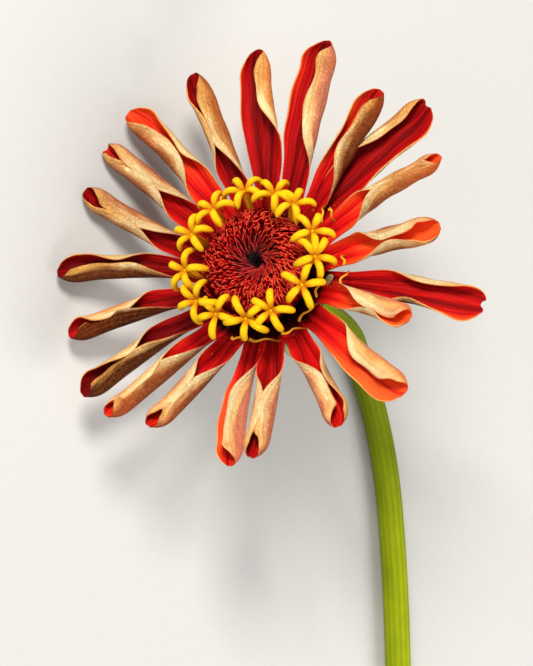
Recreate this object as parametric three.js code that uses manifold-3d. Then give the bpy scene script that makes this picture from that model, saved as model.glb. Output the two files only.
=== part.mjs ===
// A cut zinnia flower lying on a level surface: a single head of quilled red rays round a
// dark disc with a ring of open yellow florets, on a bare green stem.
// Millimetres, +Z up. The origin is the middle of the underside of the whole flower.
// The head is drawn in a frame of its own: +Z is the head's axis, z = 0 the level at which the
// rays are rooted, and azimuths turn counter-clockwise from the side that is raised most.
import * as THREE from 'three';
import Module from 'manifold-3d';

const wasm = await Module();
wasm.setup();

const rad = THREE.MathUtils.degToRad;
const { smoothstep } = THREE.MathUtils;

// How the flower lies (mm, degrees)
const HEAD_CENTRE = [-3.2, 33.6, 16.1]; // middle of the ring of ray roots
const HEAD_LEAN = 48.3; // of the head's axis from vertical
const HEAD_TOWARD = 157.7; // the way the axis leans, from +X
const HEAD_SPIN = 200.8; // of the head about its own axis

// Clearance between separate pieces
const GAP = 0.3;

// Rays
const RAY_ROOT_RADIUS = 7.0;
const RAY_ROOT_SHARE = 0.45; // share of a side's full width that it has at its root
const RAY_NARROW_TO = 0.18; // share of the length past which a ray grows wider
const RAY_WIDE_FROM = 0.66; // share of the length at which it reaches its full width
const RAY_WIDE_TO = 0.84; // share of the length past which it rounds off
const RAY_THICKNESS = 0.64;
const RAY_ARCH = 10; // how much less steeply a ray rises at its tip than at its root
const RAY_SCOOP_FROM = 0.78; // share of the length past which the tip curves up
const RAY_BEND_REACH = 0.42; // half of the share of a side's width over which it bends
const RAY_MOST_TURN = 145; // the rolled edges of a ray stop short of each other
const RAY_TIP_EASE = 45; // how much less than that an edge turns at the tip
const RAY_NOTCH_WIDTH = 0.3;
const RAY_STATIONS = 9;
const RAY_COLUMNS = 8;
const RAY_RING = { inner: 6.25, outer: 8.3, low: -0.6, high: 0.55 };

// One side of a ray: its width when flat, the share of that width at which it bends most, and
// how far its edge is turned over the upper face at six even steps from root to tip.
const side = (width, fold, ...turns) => ({ width, fold, turns });

// One ray: azimuth of its root, length, lift above the level of the roots, sway of its course to
// the left, and its left and right side. At its tip the edges stop short by a share `round` of
// the length, the middle by a share `notch`, and the whole curves up by `scoop` degrees.
const ray = (azimuth, length, lift, sway, left, right, tip = {}) => ({
  azimuth, length, lift, sway, left, right, round: 0.06, notch: 0, scoop: 40, ...tip,
});

const RAYS = [
  ray(68, 28.3, 15, 0,
    side(4.1, 0.5, 30, 33, 36, 40, 45, 60),
    side(5, 0.4, 32, 36, 75, 175, 215, 175)),
  ray(52, 24.7, 11, -2,
    side(3.4, 0.6, 30, 33, 50, 120, 100, 80),
    side(4.8, 0.42, 30, 32, 80, 190, 190, 150)),
  ray(48, 27, 6, -17,
    side(4.2, 0.5, 30, 32, 48, 140, 190, 140),
    side(4.4, 0.7, 30, 32, 42, 95, 70, 35), { round: 0.05, notch: 0.02, scoop: 20 }),
  ray(32.5, 24, 6, -14.5,
    side(3.4, 0.5, 30, 33, 75, 170, 190, 135),
    side(4.6, 0.4, 30, 32, 70, 188, 210, 140)),
  ray(10, 20.8, 10, -8,
    side(4.6, 0.46, 30, 34, 90, 182, 148, 115),
    side(3.6, 0.5, 30, 32, 60, 138, 118, 80)),
  ray(-8, 25.7, 0, -11,
    side(3.5, 0.55, 30, 32, 55, 135, 135, 80),
    side(3.4, 0.62, 30, 33, 45, 132, 70, 25), { round: 0.04, notch: 0.03, scoop: 10 }),
  ray(-21, 21.4, 21, -8,
    side(4.8, 0.42, 30, 36, 110, 190, 205, 155),
    side(3, 0.5, 30, 32, 65, 130, 85, 60)),
  ray(-42, 22.6, 9, 0,
    side(4.9, 0.42, 30, 35, 85, 190, 185, 140),
    side(3.5, 0.7, 30, 33, 42, 65, 38, 25), { round: 0.04, notch: 0, scoop: 20 }),
  ray(-59, 22.2, 16, -8,
    side(3.4, 0.5, 30, 33, 60, 140, 95, 75),
    side(4.6, 0.44, 30, 35, 90, 190, 200, 150)),
  ray(-81, 23.2, 17, -20,
    side(4.4, 0.45, 30, 33, 80, 182, 165, 125),
    side(4, 0.5, 30, 36, 90, 185, 170, 130)),
  ray(-99, 22.3, 11, 8,
    side(5.2, 0.36, 30, 38, 110, 195, 200, 150),
    side(3, 0.6, 30, 32, 36, 45, 55, 65)),
  ray(-116, 21.2, 19, -19,
    side(4.2, 0.48, 30, 35, 85, 178, 185, 135),
    side(4.2, 0.48, 30, 36, 95, 188, 190, 130)),
  ray(-135, 23.2, 15, -3,
    side(4.8, 0.4, 32, 60, 125, 195, 212, 150),
    side(3.6, 0.5, 30, 34, 75, 170, 180, 110)),
  ray(-153, 23.6, 9, 15,
    side(4.4, 0.44, 32, 58, 120, 180, 195, 140),
    side(3.8, 0.5, 30, 32, 68, 155, 120, 80)),
  ray(-171, 22.2, 9, 15,
    side(4.3, 0.44, 32, 58, 120, 180, 200, 145),
    side(3.8, 0.5, 30, 32, 70, 168, 160, 85)),
  ray(170, 22.9, 17, 20,
    side(4.3, 0.44, 32, 62, 125, 185, 200, 145),
    side(3.8, 0.5, 30, 32, 65, 145, 100, 70)),
  ray(156, 22.4, 17, -13,
    side(3.6, 0.5, 30, 33, 80, 155, 140, 105),
    side(4.4, 0.44, 32, 62, 125, 190, 195, 130)),
  ray(136, 23.4, 15.5, 4,
    side(4.1, 0.48, 30, 36, 78, 172, 180, 125),
    side(4.3, 0.47, 30, 38, 98, 186, 185, 130), { round: 0.03, notch: 0.015, scoop: 15 }),
  ray(119, 25, 13, 20,
    side(4.7, 0.43, 30, 36, 88, 182, 180, 125),
    side(3.8, 0.52, 30, 32, 52, 135, 105, 65)),
  ray(103, 24.6, 16, 7,
    side(3.4, 0.54, 30, 34, 72, 155, 115, 85),
    side(4.8, 0.42, 31, 44, 98, 188, 190, 145)),
  ray(86, 25.9, 16, 2,
    side(3.3, 0.5, 25, 27, 28, 30, 38, 70),
    side(4.4, 0.45, 30, 32, 36, 95, 205, 160), { round: 0.06, notch: 0, scoop: 25 }),
];

// Disc
const DISC_FOOT = { radius: 5.8, low: -0.6, high: 1.0 };
const DISC_WAIST = { radius: 7.0, z: 3.2 };
const DISC_RADIUS = 7.3;
const DISC_EYE_HEIGHT = 5.0;
const DISC_CREST_HEIGHT = 7.4;
const DISC_CREST_RADIUS = 5.0;
const DISC_SHOULDER_DROP = 1.1;
const DISC_LEAN = 0.8; // how far its top lies aside of the axis, both toward +X and toward +Y
const DISC_LEAN_FROM = 2.5; // level at which it starts to lean
const DISC_LEAN_TO = 6; // level above which it lies over by the whole lean
const CHAFF_COUNT = 60;
const CHAFF_LENGTH = 1.6;
const CHAFF_RADII = [0.5, 0.34, 0.12];
const GOLDEN_ANGLE = 137.508;

// Open florets
const FLORET_COLLAR = { inner: 7.6, outer: 8.5, low: 2.1, high: 3.0 };
const FLORET_ROOT_RADIUS = 8.2;
const FLORET_HEIGHT = 9.3;
const FLORET_TUBE_RADII = [0.6, 0.8];
const FLORET_LOBE = { length: 3.2, width: 0.68, height: 0.5, notch: 1.0, arch: 0.3, droop: 0.7 };
// Each floret: azimuth and distance from the axis of its star, and the star's own turn.
const FLORETS = [
  { azimuth: 90, radius: 10.1, turn: 10 },
  { azimuth: 64, radius: 10.2, turn: 50 },
  { azimuth: 46, radius: 10.3, turn: 10 },
  { azimuth: 18, radius: 10.4, turn: 25 },
  { azimuth: -3, radius: 10.3, turn: 60 },
  { azimuth: -28, radius: 9.5, turn: 15 },
  { azimuth: -63, radius: 8.6, turn: 50 },
  { azimuth: -88, radius: 8.5, turn: 30 },
  { azimuth: -119, radius: 8.4, turn: 5 },
  { azimuth: -144, radius: 8.7, turn: 35 },
  { azimuth: -176, radius: 8.7, turn: 20 },
  { azimuth: 149, radius: 8.9, turn: 55 },
  { azimuth: 120, radius: 9.1, turn: 0 },
];

// Cup of green bracts under the rays
const CUP_TOP = { radius: 8.5, z: RAY_RING.low - GAP };
const CUP_BASE = { radius: 2.9, z: -9.4 };
const CUP_ROWS = 4;
const CUP_BRACTS = 12;
const CUP_BRACT_RISE = 0.45;
const CUP_COLUMNS = 36;
const CUP_STATIONS = 12;

// Stem
const STEM_RADIUS = 1.9;
const STEM_NECK_RADIUS = 2.5;
const STEM_NECK_LENGTH = 0.1; // share of the stem over which it swells to the neck
const STEM_SIDES = 12;
const STEM_STATIONS = 24;
const STEM_CUT_SLANT = 1.6; // how much longer the cut end is on its lower side
// Course of the stem's centre from the head's centre, level with the ground past the bend.
const STEM_GROUND = STEM_RADIUS * Math.cos(Math.PI / STEM_SIDES) - HEAD_CENTRE[2];
const STEM_COURSE = [
  [14.6, -4.4, -10.2],
  [20.2, -7.6, STEM_GROUND + 1.6],
  [22.9, -12.4, STEM_GROUND + 0.15],
  [25.0, -18.2, STEM_GROUND],
  [27.2, -28, STEM_GROUND],
  [28.6, -42, STEM_GROUND],
  [29.3, -58, STEM_GROUND],
  [29.8, -76, STEM_GROUND],
  [29.6, -100, STEM_GROUND],
];

const COLOURS = {
  ray_petals: 0xb01812,
  disc: 0x7d1210,
  yellow_florets: 0xf4c405,
  involucre: 0x4c6a28,
  stem: 0x76a02c,
};

// Solids

// A closed body from points and triangles that index them.
function solid(points, triangles) {
  return new wasm.Manifold(new wasm.Mesh({
    numProp: 3,
    vertProperties: Float32Array.from(points.flat()),
    triVerts: Uint32Array.from(triangles.flat()),
  }));
}

// Bodies joined two by two into one, with any hollow sealed between them filled.
function fuse(bodies) {
  let level = bodies;
  while (level.length > 1) {
    const next = [];
    for (let i = 0; i < level.length; i += 2) {
      next.push(i + 1 < level.length ? level[i].add(level[i + 1]) : level[i]);
    }
    level = next;
  }
  return level[0].decompose().reduce((a, b) => (a.volume() > b.volume() ? a : b));
}

// A body skinned over rings of equally many points, from the first ring to the last,
// each ring counter-clockwise seen against the way the rings advance.
function skin(rings) {
  const sides = rings[0].length;
  const points = rings.flat();
  const triangles = [];
  for (let i = 0; i + 1 < rings.length; i++) {
    for (let j = 0; j < sides; j++) {
      const a = i * sides + j;
      const b = i * sides + ((j + 1) % sides);
      triangles.push([a, b, b + sides], [a, b + sides, a + sides]);
    }
  }
  const last = (rings.length - 1) * sides;
  for (let j = 1; j + 1 < sides; j++) {
    triangles.push([0, j + 1, j], [last, last + j, last + j + 1]);
  }
  return solid(points, triangles);
}

// The upright, or for a steep direction the way +X points: a fixed side to measure turns from.
const fixedSide = (along) => (
  Math.abs(new THREE.Vector3(...along).normalize().z) < 0.9 ? [0, 0, 1] : [1, 0, 0]);

// A round ring of the given number of sides in the plane across the direction `along`.
function circle(centre, along, radius, sides, turn = 0, from = fixedSide(along)) {
  const axis = new THREE.Vector3(...along).normalize();
  const u = new THREE.Vector3(...from).cross(axis).normalize();
  const v = axis.clone().cross(u);
  return Array.from({ length: sides }, (_, k) => {
    const a = turn + (2 * Math.PI * k) / sides;
    return new THREE.Vector3(...centre)
      .addScaledVector(u, radius * Math.cos(a))
      .addScaledVector(v, radius * Math.sin(a))
      .toArray();
  });
}

// A rod through the given centres, with a radius at each of them.
function rod(centres, radii, sides, turn = 0) {
  const last = centres.length - 1;
  const course = (from, to) => centres[to].map((c, k) => c - centres[from][k]);
  const from = fixedSide(course(0, last));
  return skin(centres.map((centre, i) => {
    const along = course(Math.max(i - 1, 0), Math.min(i + 1, last));
    return circle(centre, along, radii[i], sides, turn, from);
  }));
}

// A body turned about the axis from a profile of [radius, z] points that starts and ends on it.
function turned(profile, sides) {
  const outline = profile.map(([r, z]) => new THREE.Vector2(r, z));
  const lathe = new THREE.LatheGeometry(outline, sides);
  const index = new Map();
  const points = [];
  const at = lathe.attributes.position;
  const own = Array.from({ length: at.count }, (_, i) => {
    const p = [at.getX(i), -at.getZ(i), at.getY(i)].map((c) => Math.round(c * 1e4) / 1e4);
    const key = p.map((c) => c + 0).join();
    if (!index.has(key)) {
      index.set(key, points.length);
      points.push(p);
    }
    return index.get(key);
  });
  const triangles = [];
  for (let i = 0; i < lathe.index.count; i += 3) {
    const t = [0, 1, 2].map((k) => own[lathe.index.getX(i + k)]);
    if (new Set(t).size === 3) triangles.push(t);
  }
  return solid(points, triangles);
}

// A flat ring between two radii and two levels.
function washer({ inner, outer, low, high }, sides) {
  const disc = (r) => turned([[0, low], [r, low], [r, high], [0, high]], sides);
  const hole = turned([[0, low - 1], [inner, low - 1], [inner, high + 1], [0, high + 1]], sides);
  return disc(outer).subtract(hole);
}

const polar = (radius, azimuth, z) => [
  radius * Math.cos(rad(azimuth)), radius * Math.sin(rad(azimuth)), z,
];

// Rays

// The value at a share of the way along evenly spaced values.
function through(values, share) {
  const place = THREE.MathUtils.clamp(share, 0, 1) * (values.length - 1);
  const step = Math.min(Math.floor(place), values.length - 2);
  return THREE.MathUtils.lerp(values[step], values[step + 1], place - step);
}

// The course of a ray's midrib: a point, its left side and its upper side at each of many equal
// steps from root to tip.
function midrib(own, steps = 48) {
  const point = new THREE.Vector3(...polar(RAY_ROOT_RADIUS, own.azimuth, 0));
  const course = [];
  for (let k = 0; k <= steps; k++) {
    const u = k / steps;
    const scoop = own.scoop * smoothstep(u, RAY_SCOOP_FROM, 1);
    const rise = rad(own.lift + RAY_ARCH * (0.5 - u) + scoop);
    const heading = rad(own.azimuth + own.sway * u);
    const along = new THREE.Vector3(
      Math.cos(rise) * Math.cos(heading), Math.cos(rise) * Math.sin(heading), Math.sin(rise),
    );
    const left = new THREE.Vector3(-Math.sin(heading), Math.cos(heading), 0);
    const up = along.clone().cross(left);
    course.push({ point: point.clone(), left, up });
    point.addScaledVector(along, own.length / steps);
  }
  return course;
}

// Where a side's cross-section has got to at a share of its width, as the distance aside of the
// midrib and the height over it. Its tangent turns by the edge's turn times an S-shaped rise
// round the fold.
function section({ width, fold, turns }, reach, share) {
  const widening = smoothstep(reach, RAY_NARROW_TO, RAY_WIDE_FROM);
  const past = Math.max((reach - RAY_WIDE_TO) / (1 - RAY_WIDE_TO), 0);
  const rounding = Math.sqrt(1 - 0.88 * past ** 2);
  const span = width * (RAY_ROOT_SHARE + (1 - RAY_ROOT_SHARE) * widening) * rounding * share;
  const turn = rad(Math.min(through(turns, reach), RAY_MOST_TURN - RAY_TIP_EASE * past));
  const pieces = 12;
  let [aside, height] = [0, 0];
  for (let k = 0; k < pieces; k++) {
    const s = (share * (k + 0.5)) / pieces;
    const angle = turn * smoothstep(s, fold - RAY_BEND_REACH, fold + RAY_BEND_REACH);
    aside += (span * Math.cos(angle)) / pieces;
    height += (span * Math.sin(angle)) / pieces;
  }
  return [aside, height];
}

// A point of the middle of a ray's blade, at a share of its length from the root and of its
// width from the midrib, which is 1 at the left edge and -1 at the right one.
function rayPoint(own, course, u, v) {
  const short = own.round * (1 - Math.sqrt(1 - 0.97 * v ** 2));
  const notch = own.notch * Math.exp(-((v / RAY_NOTCH_WIDTH) ** 2));
  const reach = u * (1 - short - notch);
  const [aside, height] = section(v > 0 ? own.left : own.right, reach, Math.abs(v));
  const place = reach * (course.length - 1);
  const step = Math.min(Math.floor(place), course.length - 2);
  const at = (name) => course[step][name].clone().lerp(course[step + 1][name], place - step);
  return at('point').addScaledVector(at('left'), Math.sign(v) * aside)
    .addScaledVector(at('up'), height);
}

// One ray as a thin blade.
function rayBlade(own) {
  const course = midrib(own);
  const near = 0.01;
  const rows = [];
  for (let i = 0; i <= RAY_STATIONS; i++) {
    const row = [];
    const share = i / RAY_STATIONS;
    const u = share * (1.25 - 0.25 * share);
    for (let j = 0; j <= RAY_COLUMNS; j++) {
      const v = (2 * j) / RAY_COLUMNS - 1;
      const middle = rayPoint(own, course, u, v);
      const [inU, inV] = [Math.min(Math.max(u, near), 1 - near), v * (1 - near)];
      const forward = rayPoint(own, course, inU + near, inV)
        .sub(rayPoint(own, course, inU - near, inV));
      const left = rayPoint(own, course, inU, inV + near)
        .sub(rayPoint(own, course, inU, inV - near));
      const normal = forward.cross(left).normalize();
      row.push([1, -1].map((face) => (
        middle.clone().addScaledVector(normal, (face * RAY_THICKNESS) / 2).toArray())));
    }
    rows.push(row);
  }
  // A ring of points round the blade at each station: the upper face to the left, then the
  // lower face back to the right. Both faces are split along the same diagonals.
  const perRow = 2 * (RAY_COLUMNS + 1);
  const points = rows.flatMap((row) => [
    ...row.map(([upper]) => upper),
    ...row.map(([, lower]) => lower).reverse(),
  ]);
  const triangles = [];
  const upper = (i, j) => i * perRow + j;
  const lower = (i, j) => i * perRow + perRow - 1 - j;
  for (let i = 0; i < RAY_STATIONS; i++) {
    for (let j = 0; j < RAY_COLUMNS; j++) {
      triangles.push(
        [upper(i, j), upper(i + 1, j), upper(i + 1, j + 1)],
        [upper(i, j), upper(i + 1, j + 1), upper(i, j + 1)],
        [lower(i, j), lower(i + 1, j + 1), lower(i + 1, j)],
        [lower(i, j), lower(i, j + 1), lower(i + 1, j + 1)],
      );
    }
    const n = RAY_COLUMNS;
    triangles.push(
      [upper(i, 0), lower(i, 0), lower(i + 1, 0)], [upper(i, 0), lower(i + 1, 0), upper(i + 1, 0)],
      [upper(i, n), lower(i + 1, n), lower(i, n)], [upper(i, n), upper(i + 1, n), lower(i + 1, n)],
    );
  }
  for (let j = 0; j < RAY_COLUMNS; j++) {
    const e = RAY_STATIONS;
    triangles.push(
      [upper(0, j), lower(0, j + 1), lower(0, j)], [upper(0, j), upper(0, j + 1), lower(0, j + 1)],
      [upper(e, j), lower(e, j), lower(e, j + 1)], [upper(e, j), lower(e, j + 1), upper(e, j + 1)],
    );
  }
  return solid(points, triangles);
}

function rays() {
  return fuse([washer(RAY_RING, 42), ...RAYS.map(rayBlade)]);
}

// Disc

// Level of the disc's top at a distance from the axis: a dark hollow eye, a crest round it and
// a shoulder that falls away to the side.
function discHeight(r) {
  const crest = Math.sin((Math.PI / 2) * Math.min(r / DISC_CREST_RADIUS, 1)) ** 2;
  const fall = Math.max(r - DISC_CREST_RADIUS, 0) / (DISC_RADIUS - DISC_CREST_RADIUS);
  return DISC_EYE_HEIGHT + (DISC_CREST_HEIGHT - DISC_EYE_HEIGHT) * crest
    - DISC_SHOULDER_DROP * fall ** 2;
}

// One curved, three-sided chaff scale. Those inside the crest bow over toward the eye,
// and all of them lean round the axis the same way.
function chaff(index) {
  const r = 6.7 * Math.sqrt((index + 6) / (CHAFF_COUNT + 6));
  const azimuth = index * GOLDEN_ANGLE;
  const inward = 0.95 * smoothstep(DISC_CREST_RADIUS + 1.5 - r, 0, 4);
  const rise = Math.sqrt(1 - 0.6 * inward ** 2);
  const at = (s, bow) => {
    const lean = CHAFF_LENGTH * s * inward * bow;
    return polar(r - lean, azimuth + 9 * s * bow, discHeight(r) - 0.45 + CHAFF_LENGTH * s * rise);
  };
  return rod([at(0, 0), at(0.6, 0.6), at(0.9, 1)], CHAFF_RADII, 3, index);
}

function disc() {
  const top = [0, 1.3, 2.7, 4, DISC_CREST_RADIUS, 6, 6.7, DISC_RADIUS];
  const core = turned([
    [0, DISC_FOOT.low],
    [DISC_FOOT.radius, DISC_FOOT.low],
    [DISC_FOOT.radius, DISC_FOOT.high],
    [DISC_WAIST.radius, DISC_WAIST.z],
    ...top.reverse().map((r) => [r, discHeight(r)]),
  ], 24);
  const upright = fuse([core, ...Array.from({ length: CHAFF_COUNT }, (_, i) => chaff(i))]);
  return upright.warp((point) => {
    const lean = DISC_LEAN * smoothstep(point[2], DISC_LEAN_FROM, DISC_LEAN_TO);
    point[0] += lean;
    point[1] += lean;
  });
}

// Open florets

// The five plump lobes of a floret as one body: each is a finger that leaves the middle level,
// arches over and ends in a tip below it. `at` gives the point at a reach from the middle, a
// side step to the left of the way out and a rise, for a way out at some angle.
function star(at, turn) {
  const points = [at(0, 0, FLORET_LOBE.height * 0.4, 0), at(0, 0, -FLORET_LOBE.height, 0)];
  const triangles = [];
  const [top, under] = [0, 1];
  const perLobe = 10;
  for (let k = 0; k < 5; k++) {
    const angle = rad(turn + 72 * k);
    const { length, width, height, notch, arch } = FLORET_LOBE;
    points.push(at(notch, 0, -0.1, angle - rad(36)));
    for (const [share, rise] of [[0.4, arch], [0.78, arch * 0.4]]) {
      const reach = share * length;
      points.push(
        at(reach, -width, rise, angle), at(reach, 0, rise + height, angle),
        at(reach, width, rise, angle), at(reach, 0, rise - height, angle),
      );
    }
    points.push(at(length, 0, -FLORET_LOBE.droop, angle));
    const first = 2 + perLobe * k;
    const [right, ridge, left, keel, tip] = [1, 2, 3, 4, 9].map((n) => first + n);
    const before = first;
    const after = 2 + perLobe * ((k + 1) % 5);
    triangles.push(
      [top, before, right], [top, right, ridge], [top, ridge, left], [top, left, after],
      [under, right, before], [under, keel, right], [under, left, keel], [under, after, left],
    );
    const around = [right, ridge, left, keel];
    around.forEach((a, n) => {
      const b = around[(n + 1) % 4];
      triangles.push([b, a, a + 4], [b, a + 4, b + 4], [b + 4, a + 4, tip]);
    });
  }
  return solid(points, triangles);
}

// One floret: a tube that splays out to its star.
function floret({ azimuth, radius, turn }) {
  const root = polar(FLORET_ROOT_RADIUS, azimuth, FLORET_COLLAR.low + 0.4);
  const middle = polar(radius, azimuth, FLORET_HEIGHT);
  const along = middle.map((c, k) => c - root[k]);
  const tube = rod([root, middle], FLORET_TUBE_RADII, 5);
  const axis = new THREE.Vector3(...along).normalize();
  const at = (reach, side, rise, angle) => {
    const out = new THREE.Vector3(...circle([0, 0, 0], along, 1, 1, angle)[0]);
    const left = axis.clone().cross(out);
    return out.multiplyScalar(reach).addScaledVector(left, side).addScaledVector(axis, rise)
      .add(new THREE.Vector3(...middle)).toArray();
  };
  return fuse([tube, star(at, turn)]);
}

// The florets stand side by side on a narrow rim round the disc.
function florets() {
  return fuse([washer(FLORET_COLLAR, 36), ...FLORETS.map(floret)]);
}

// Cup of bracts

// Rise of the overlapping bracts over the cup's surface: each bract swells toward its pointed
// tip, and every second row is moved on by half a bract.
function bractRise(turns, level) {
  let rise = 0;
  for (let row = 0; row < CUP_ROWS; row++) {
    const place = turns * CUP_BRACTS + (row % 2) / 2;
    const aside = 2 * Math.abs(place - Math.round(place));
    const foot = row / CUP_ROWS - 0.15;
    const tip = (row + 1.05) / CUP_ROWS - 0.14 * aside ** 2;
    const along = (level - foot) / (tip - foot);
    if (along > 0 && along <= 1) rise = Math.max(rise, CUP_BRACT_RISE * along * (1 - 0.5 * aside));
  }
  return rise;
}

function cup() {
  const height = CUP_TOP.z - CUP_BASE.z;
  const rings = [];
  for (let i = 0; i <= CUP_STATIONS; i++) {
    const level = i / CUP_STATIONS;
    const swell = Math.sin((Math.PI / 2) * level) ** 0.85;
    const bare = CUP_BASE.radius + (CUP_TOP.radius - CUP_BRACT_RISE - CUP_BASE.radius) * swell;
    rings.push(Array.from({ length: CUP_COLUMNS }, (_, j) => {
      const turns = j / CUP_COLUMNS;
      return polar(bare + bractRise(turns, level), 360 * turns, CUP_BASE.z + height * level);
    }));
  }
  return skin(rings);
}

// Stem

// The stem leaves the head along its axis, bends down to the ground and lies along it.
// Its sides are turned so that one of them faces straight down.
function stem() {
  const axis = new THREE.Vector3(
    Math.sin(rad(HEAD_LEAN)) * Math.cos(rad(HEAD_TOWARD)),
    Math.sin(rad(HEAD_LEAN)) * Math.sin(rad(HEAD_TOWARD)),
    Math.cos(rad(HEAD_LEAN)),
  );
  const top = axis.clone().multiplyScalar(CUP_BASE.z - GAP);
  const course = new THREE.CatmullRomCurve3(
    [top, ...STEM_COURSE.map((p) => new THREE.Vector3(...p))], false, 'centripetal',
  );
  const rings = [];
  for (let i = 0; i <= STEM_STATIONS; i++) {
    const u = i / STEM_STATIONS;
    const centre = course.getPointAt(u);
    const along = i === 0 ? axis.clone().negate() : course.getTangentAt(u);
    const swell = 1 - smoothstep(u, 0, STEM_NECK_LENGTH);
    const radius = STEM_RADIUS + (STEM_NECK_RADIUS - STEM_RADIUS) * swell;
    const ring = circle(centre.toArray(), along.toArray(), radius, STEM_SIDES, Math.PI / STEM_SIDES);
    if (i === STEM_STATIONS) {
      for (const p of ring) p[1] += (STEM_CUT_SLANT * (p[2] - centre.z)) / (2 * STEM_RADIUS);
    }
    rings.push(ring);
  }
  return skin(rings);
}

// Assembly

function mesh(name, body) {
  const { vertProperties, triVerts } = body.getMesh();
  const geometry = new THREE.BufferGeometry();
  geometry.setAttribute('position', new THREE.BufferAttribute(vertProperties, 3));
  geometry.setIndex(new THREE.BufferAttribute(triVerts, 1));
  geometry.computeVertexNormals();
  const material = new THREE.MeshStandardMaterial({
    color: COLOURS[name], roughness: 0.65, metalness: 0, flatShading: true,
  });
  const part = new THREE.Mesh(geometry, material);
  part.name = name;
  return part;
}

// The head's frame: leaned toward its own heading, then spun about its axis.
const spun = new THREE.Group();
spun.rotation.z = rad(HEAD_SPIN);
spun.add(
  mesh('ray_petals', rays()),
  mesh('disc', disc()),
  mesh('yellow_florets', florets()),
  mesh('involucre', cup()),
);
const leaned = new THREE.Group();
leaned.rotation.y = rad(HEAD_LEAN);
leaned.add(spun);
const head = new THREE.Group();
head.rotation.z = rad(HEAD_TOWARD);
head.add(leaned);

const group = new THREE.Group();
group.position.set(...HEAD_CENTRE);
group.add(head, mesh('stem', stem()));

export default group;
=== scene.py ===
"""Looks of a cut zinnia flower that lies on a pale floor: quilled rays, disc, florets and stem.

Sizes are in millimetres until a finished piece's points are turned into metres. The head's pieces
are worked out in the head's own frame: +Z is the head's axis, z = 0 the level of the ray roots,
and azimuths turn counter-clockwise, in degrees, from the side that is raised most. What is called
a share runs from 0 to 1.
"""

import logging
from dataclasses import dataclass, field
from enum import Enum
from math import cos, pi, radians, sin

import bpy
import numpy as np
from mathutils import Matrix

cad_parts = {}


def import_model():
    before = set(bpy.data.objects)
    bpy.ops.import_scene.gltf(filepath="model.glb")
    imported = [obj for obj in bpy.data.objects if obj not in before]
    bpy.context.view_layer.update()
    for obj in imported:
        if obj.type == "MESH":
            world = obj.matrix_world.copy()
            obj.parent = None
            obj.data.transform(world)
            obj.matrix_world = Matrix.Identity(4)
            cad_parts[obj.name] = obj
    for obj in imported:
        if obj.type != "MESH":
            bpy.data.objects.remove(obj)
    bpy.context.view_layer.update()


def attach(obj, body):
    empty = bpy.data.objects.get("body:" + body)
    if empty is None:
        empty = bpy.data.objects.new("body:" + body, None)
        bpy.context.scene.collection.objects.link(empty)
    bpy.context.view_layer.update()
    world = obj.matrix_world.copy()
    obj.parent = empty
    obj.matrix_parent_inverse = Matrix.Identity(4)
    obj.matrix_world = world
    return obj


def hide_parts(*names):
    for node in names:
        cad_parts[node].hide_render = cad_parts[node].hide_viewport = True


log = logging.getLogger("zinnia")

Array = np.ndarray
Point = tuple[float, float, float]
Colour = tuple[float, float, float]
Material = bpy.types.Material
Piece = bpy.types.Object

METRES = 0.001
GOLDEN_ANGLE = 137.508
UP = np.array([0, 0, 1.0])
FULL_TURN = np.arange(0, 360, 5.0)


# Numbers on arrays


def smoothstep(low: float, high: float, x: Array) -> Array:
    """An S-shaped rise: 3t squared less 2t cubed, t being x's share of the way from low to high."""
    t = np.clip((np.asarray(x, float) - low) / (high - low), 0, 1)
    return t * t * (3 - 2 * t)


def through(values: tuple[float, ...], u: Array) -> Array:
    """A smooth curve through evenly spaced values.

    Args:
        values: The curve's values at even steps from u = 0 to u = 1.
        u: Where to look it up.

    Returns:
        The Catmull-Rom cubic through the two values on each side, the end ones used twice.
    """
    steps = len(values) - 1
    padded = np.array([values[0], *values, values[-1]], float)
    k = np.clip(np.floor(u * steps).astype(int), 0, steps - 1)
    t = u * steps - k
    a, b, c, d = (padded[k + i] for i in range(4))
    cubic = (3 * b - a - 3 * c + d) * t**3 + (2 * a - 5 * b + 4 * c - d) * t**2
    return 0.5 * (cubic + (c - a) * t) + b


def unit(vectors: Array) -> Array:
    """Vectors scaled to length one along the last axis."""
    return vectors / np.maximum(np.linalg.norm(vectors, axis=-1, keepdims=True), 1e-12)


def polar(radius: Array, azimuth: Array, z: Array) -> Array:
    """Points from a radius and an azimuth in degrees round the axis, and a level."""
    a = np.radians(azimuth)
    return np.stack(np.broadcast_arrays(radius * np.cos(a), radius * np.sin(a), z), -1)


def grid(rows: int, columns: int) -> tuple[Array, Array]:
    """Rows from 0 to 1 and columns from -1 to 1, both as arrays of (rows, columns)."""
    return np.meshgrid(np.linspace(0, 1, rows), np.linspace(-1, 1, columns), indexing="ij")


def read_off(where: Array, known: Array, line: Array) -> Array:
    """Points of a line at the given shares, in straight steps between the known ones."""
    return np.stack([np.interp(where, known, coordinate) for coordinate in line.T], -1)


def about_z(angle: float) -> Array:
    """The matrix of a turn about Z by an angle in degrees."""
    c, s = cos(radians(angle)), sin(radians(angle))
    return np.array([[c, -s, 0], [s, c, 0], [0, 0, 1]])


@dataclass(frozen=True)
class Lie:
    """How the head lies in the row's frame."""

    centre: Point = (-3.2, 33.6, 16.1)  # middle of the ring of ray roots
    lean: float = 48.3  # degrees of the head's axis from vertical
    toward: float = 157.7  # the way the axis leans, in degrees from +X
    spin: float = 200.8

    def turn(self) -> Array:
        """The matrix that turns the head's frame into the row's.

        Returns:
            The product of the heading, the lean about Y and the spin, which comes first.
        """
        c, s = cos(radians(self.lean)), sin(radians(self.lean))
        about_y = np.array([[c, 0, s], [0, 1, 0], [-s, 0, c]])
        return about_z(self.toward) @ about_y @ about_z(self.spin)

    def place(self, points: Array) -> Array:
        """Points of the head's frame in the row's frame."""
        return points @ self.turn().T + np.array(self.centre)


LIE = Lie()


# Surfaces


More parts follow.
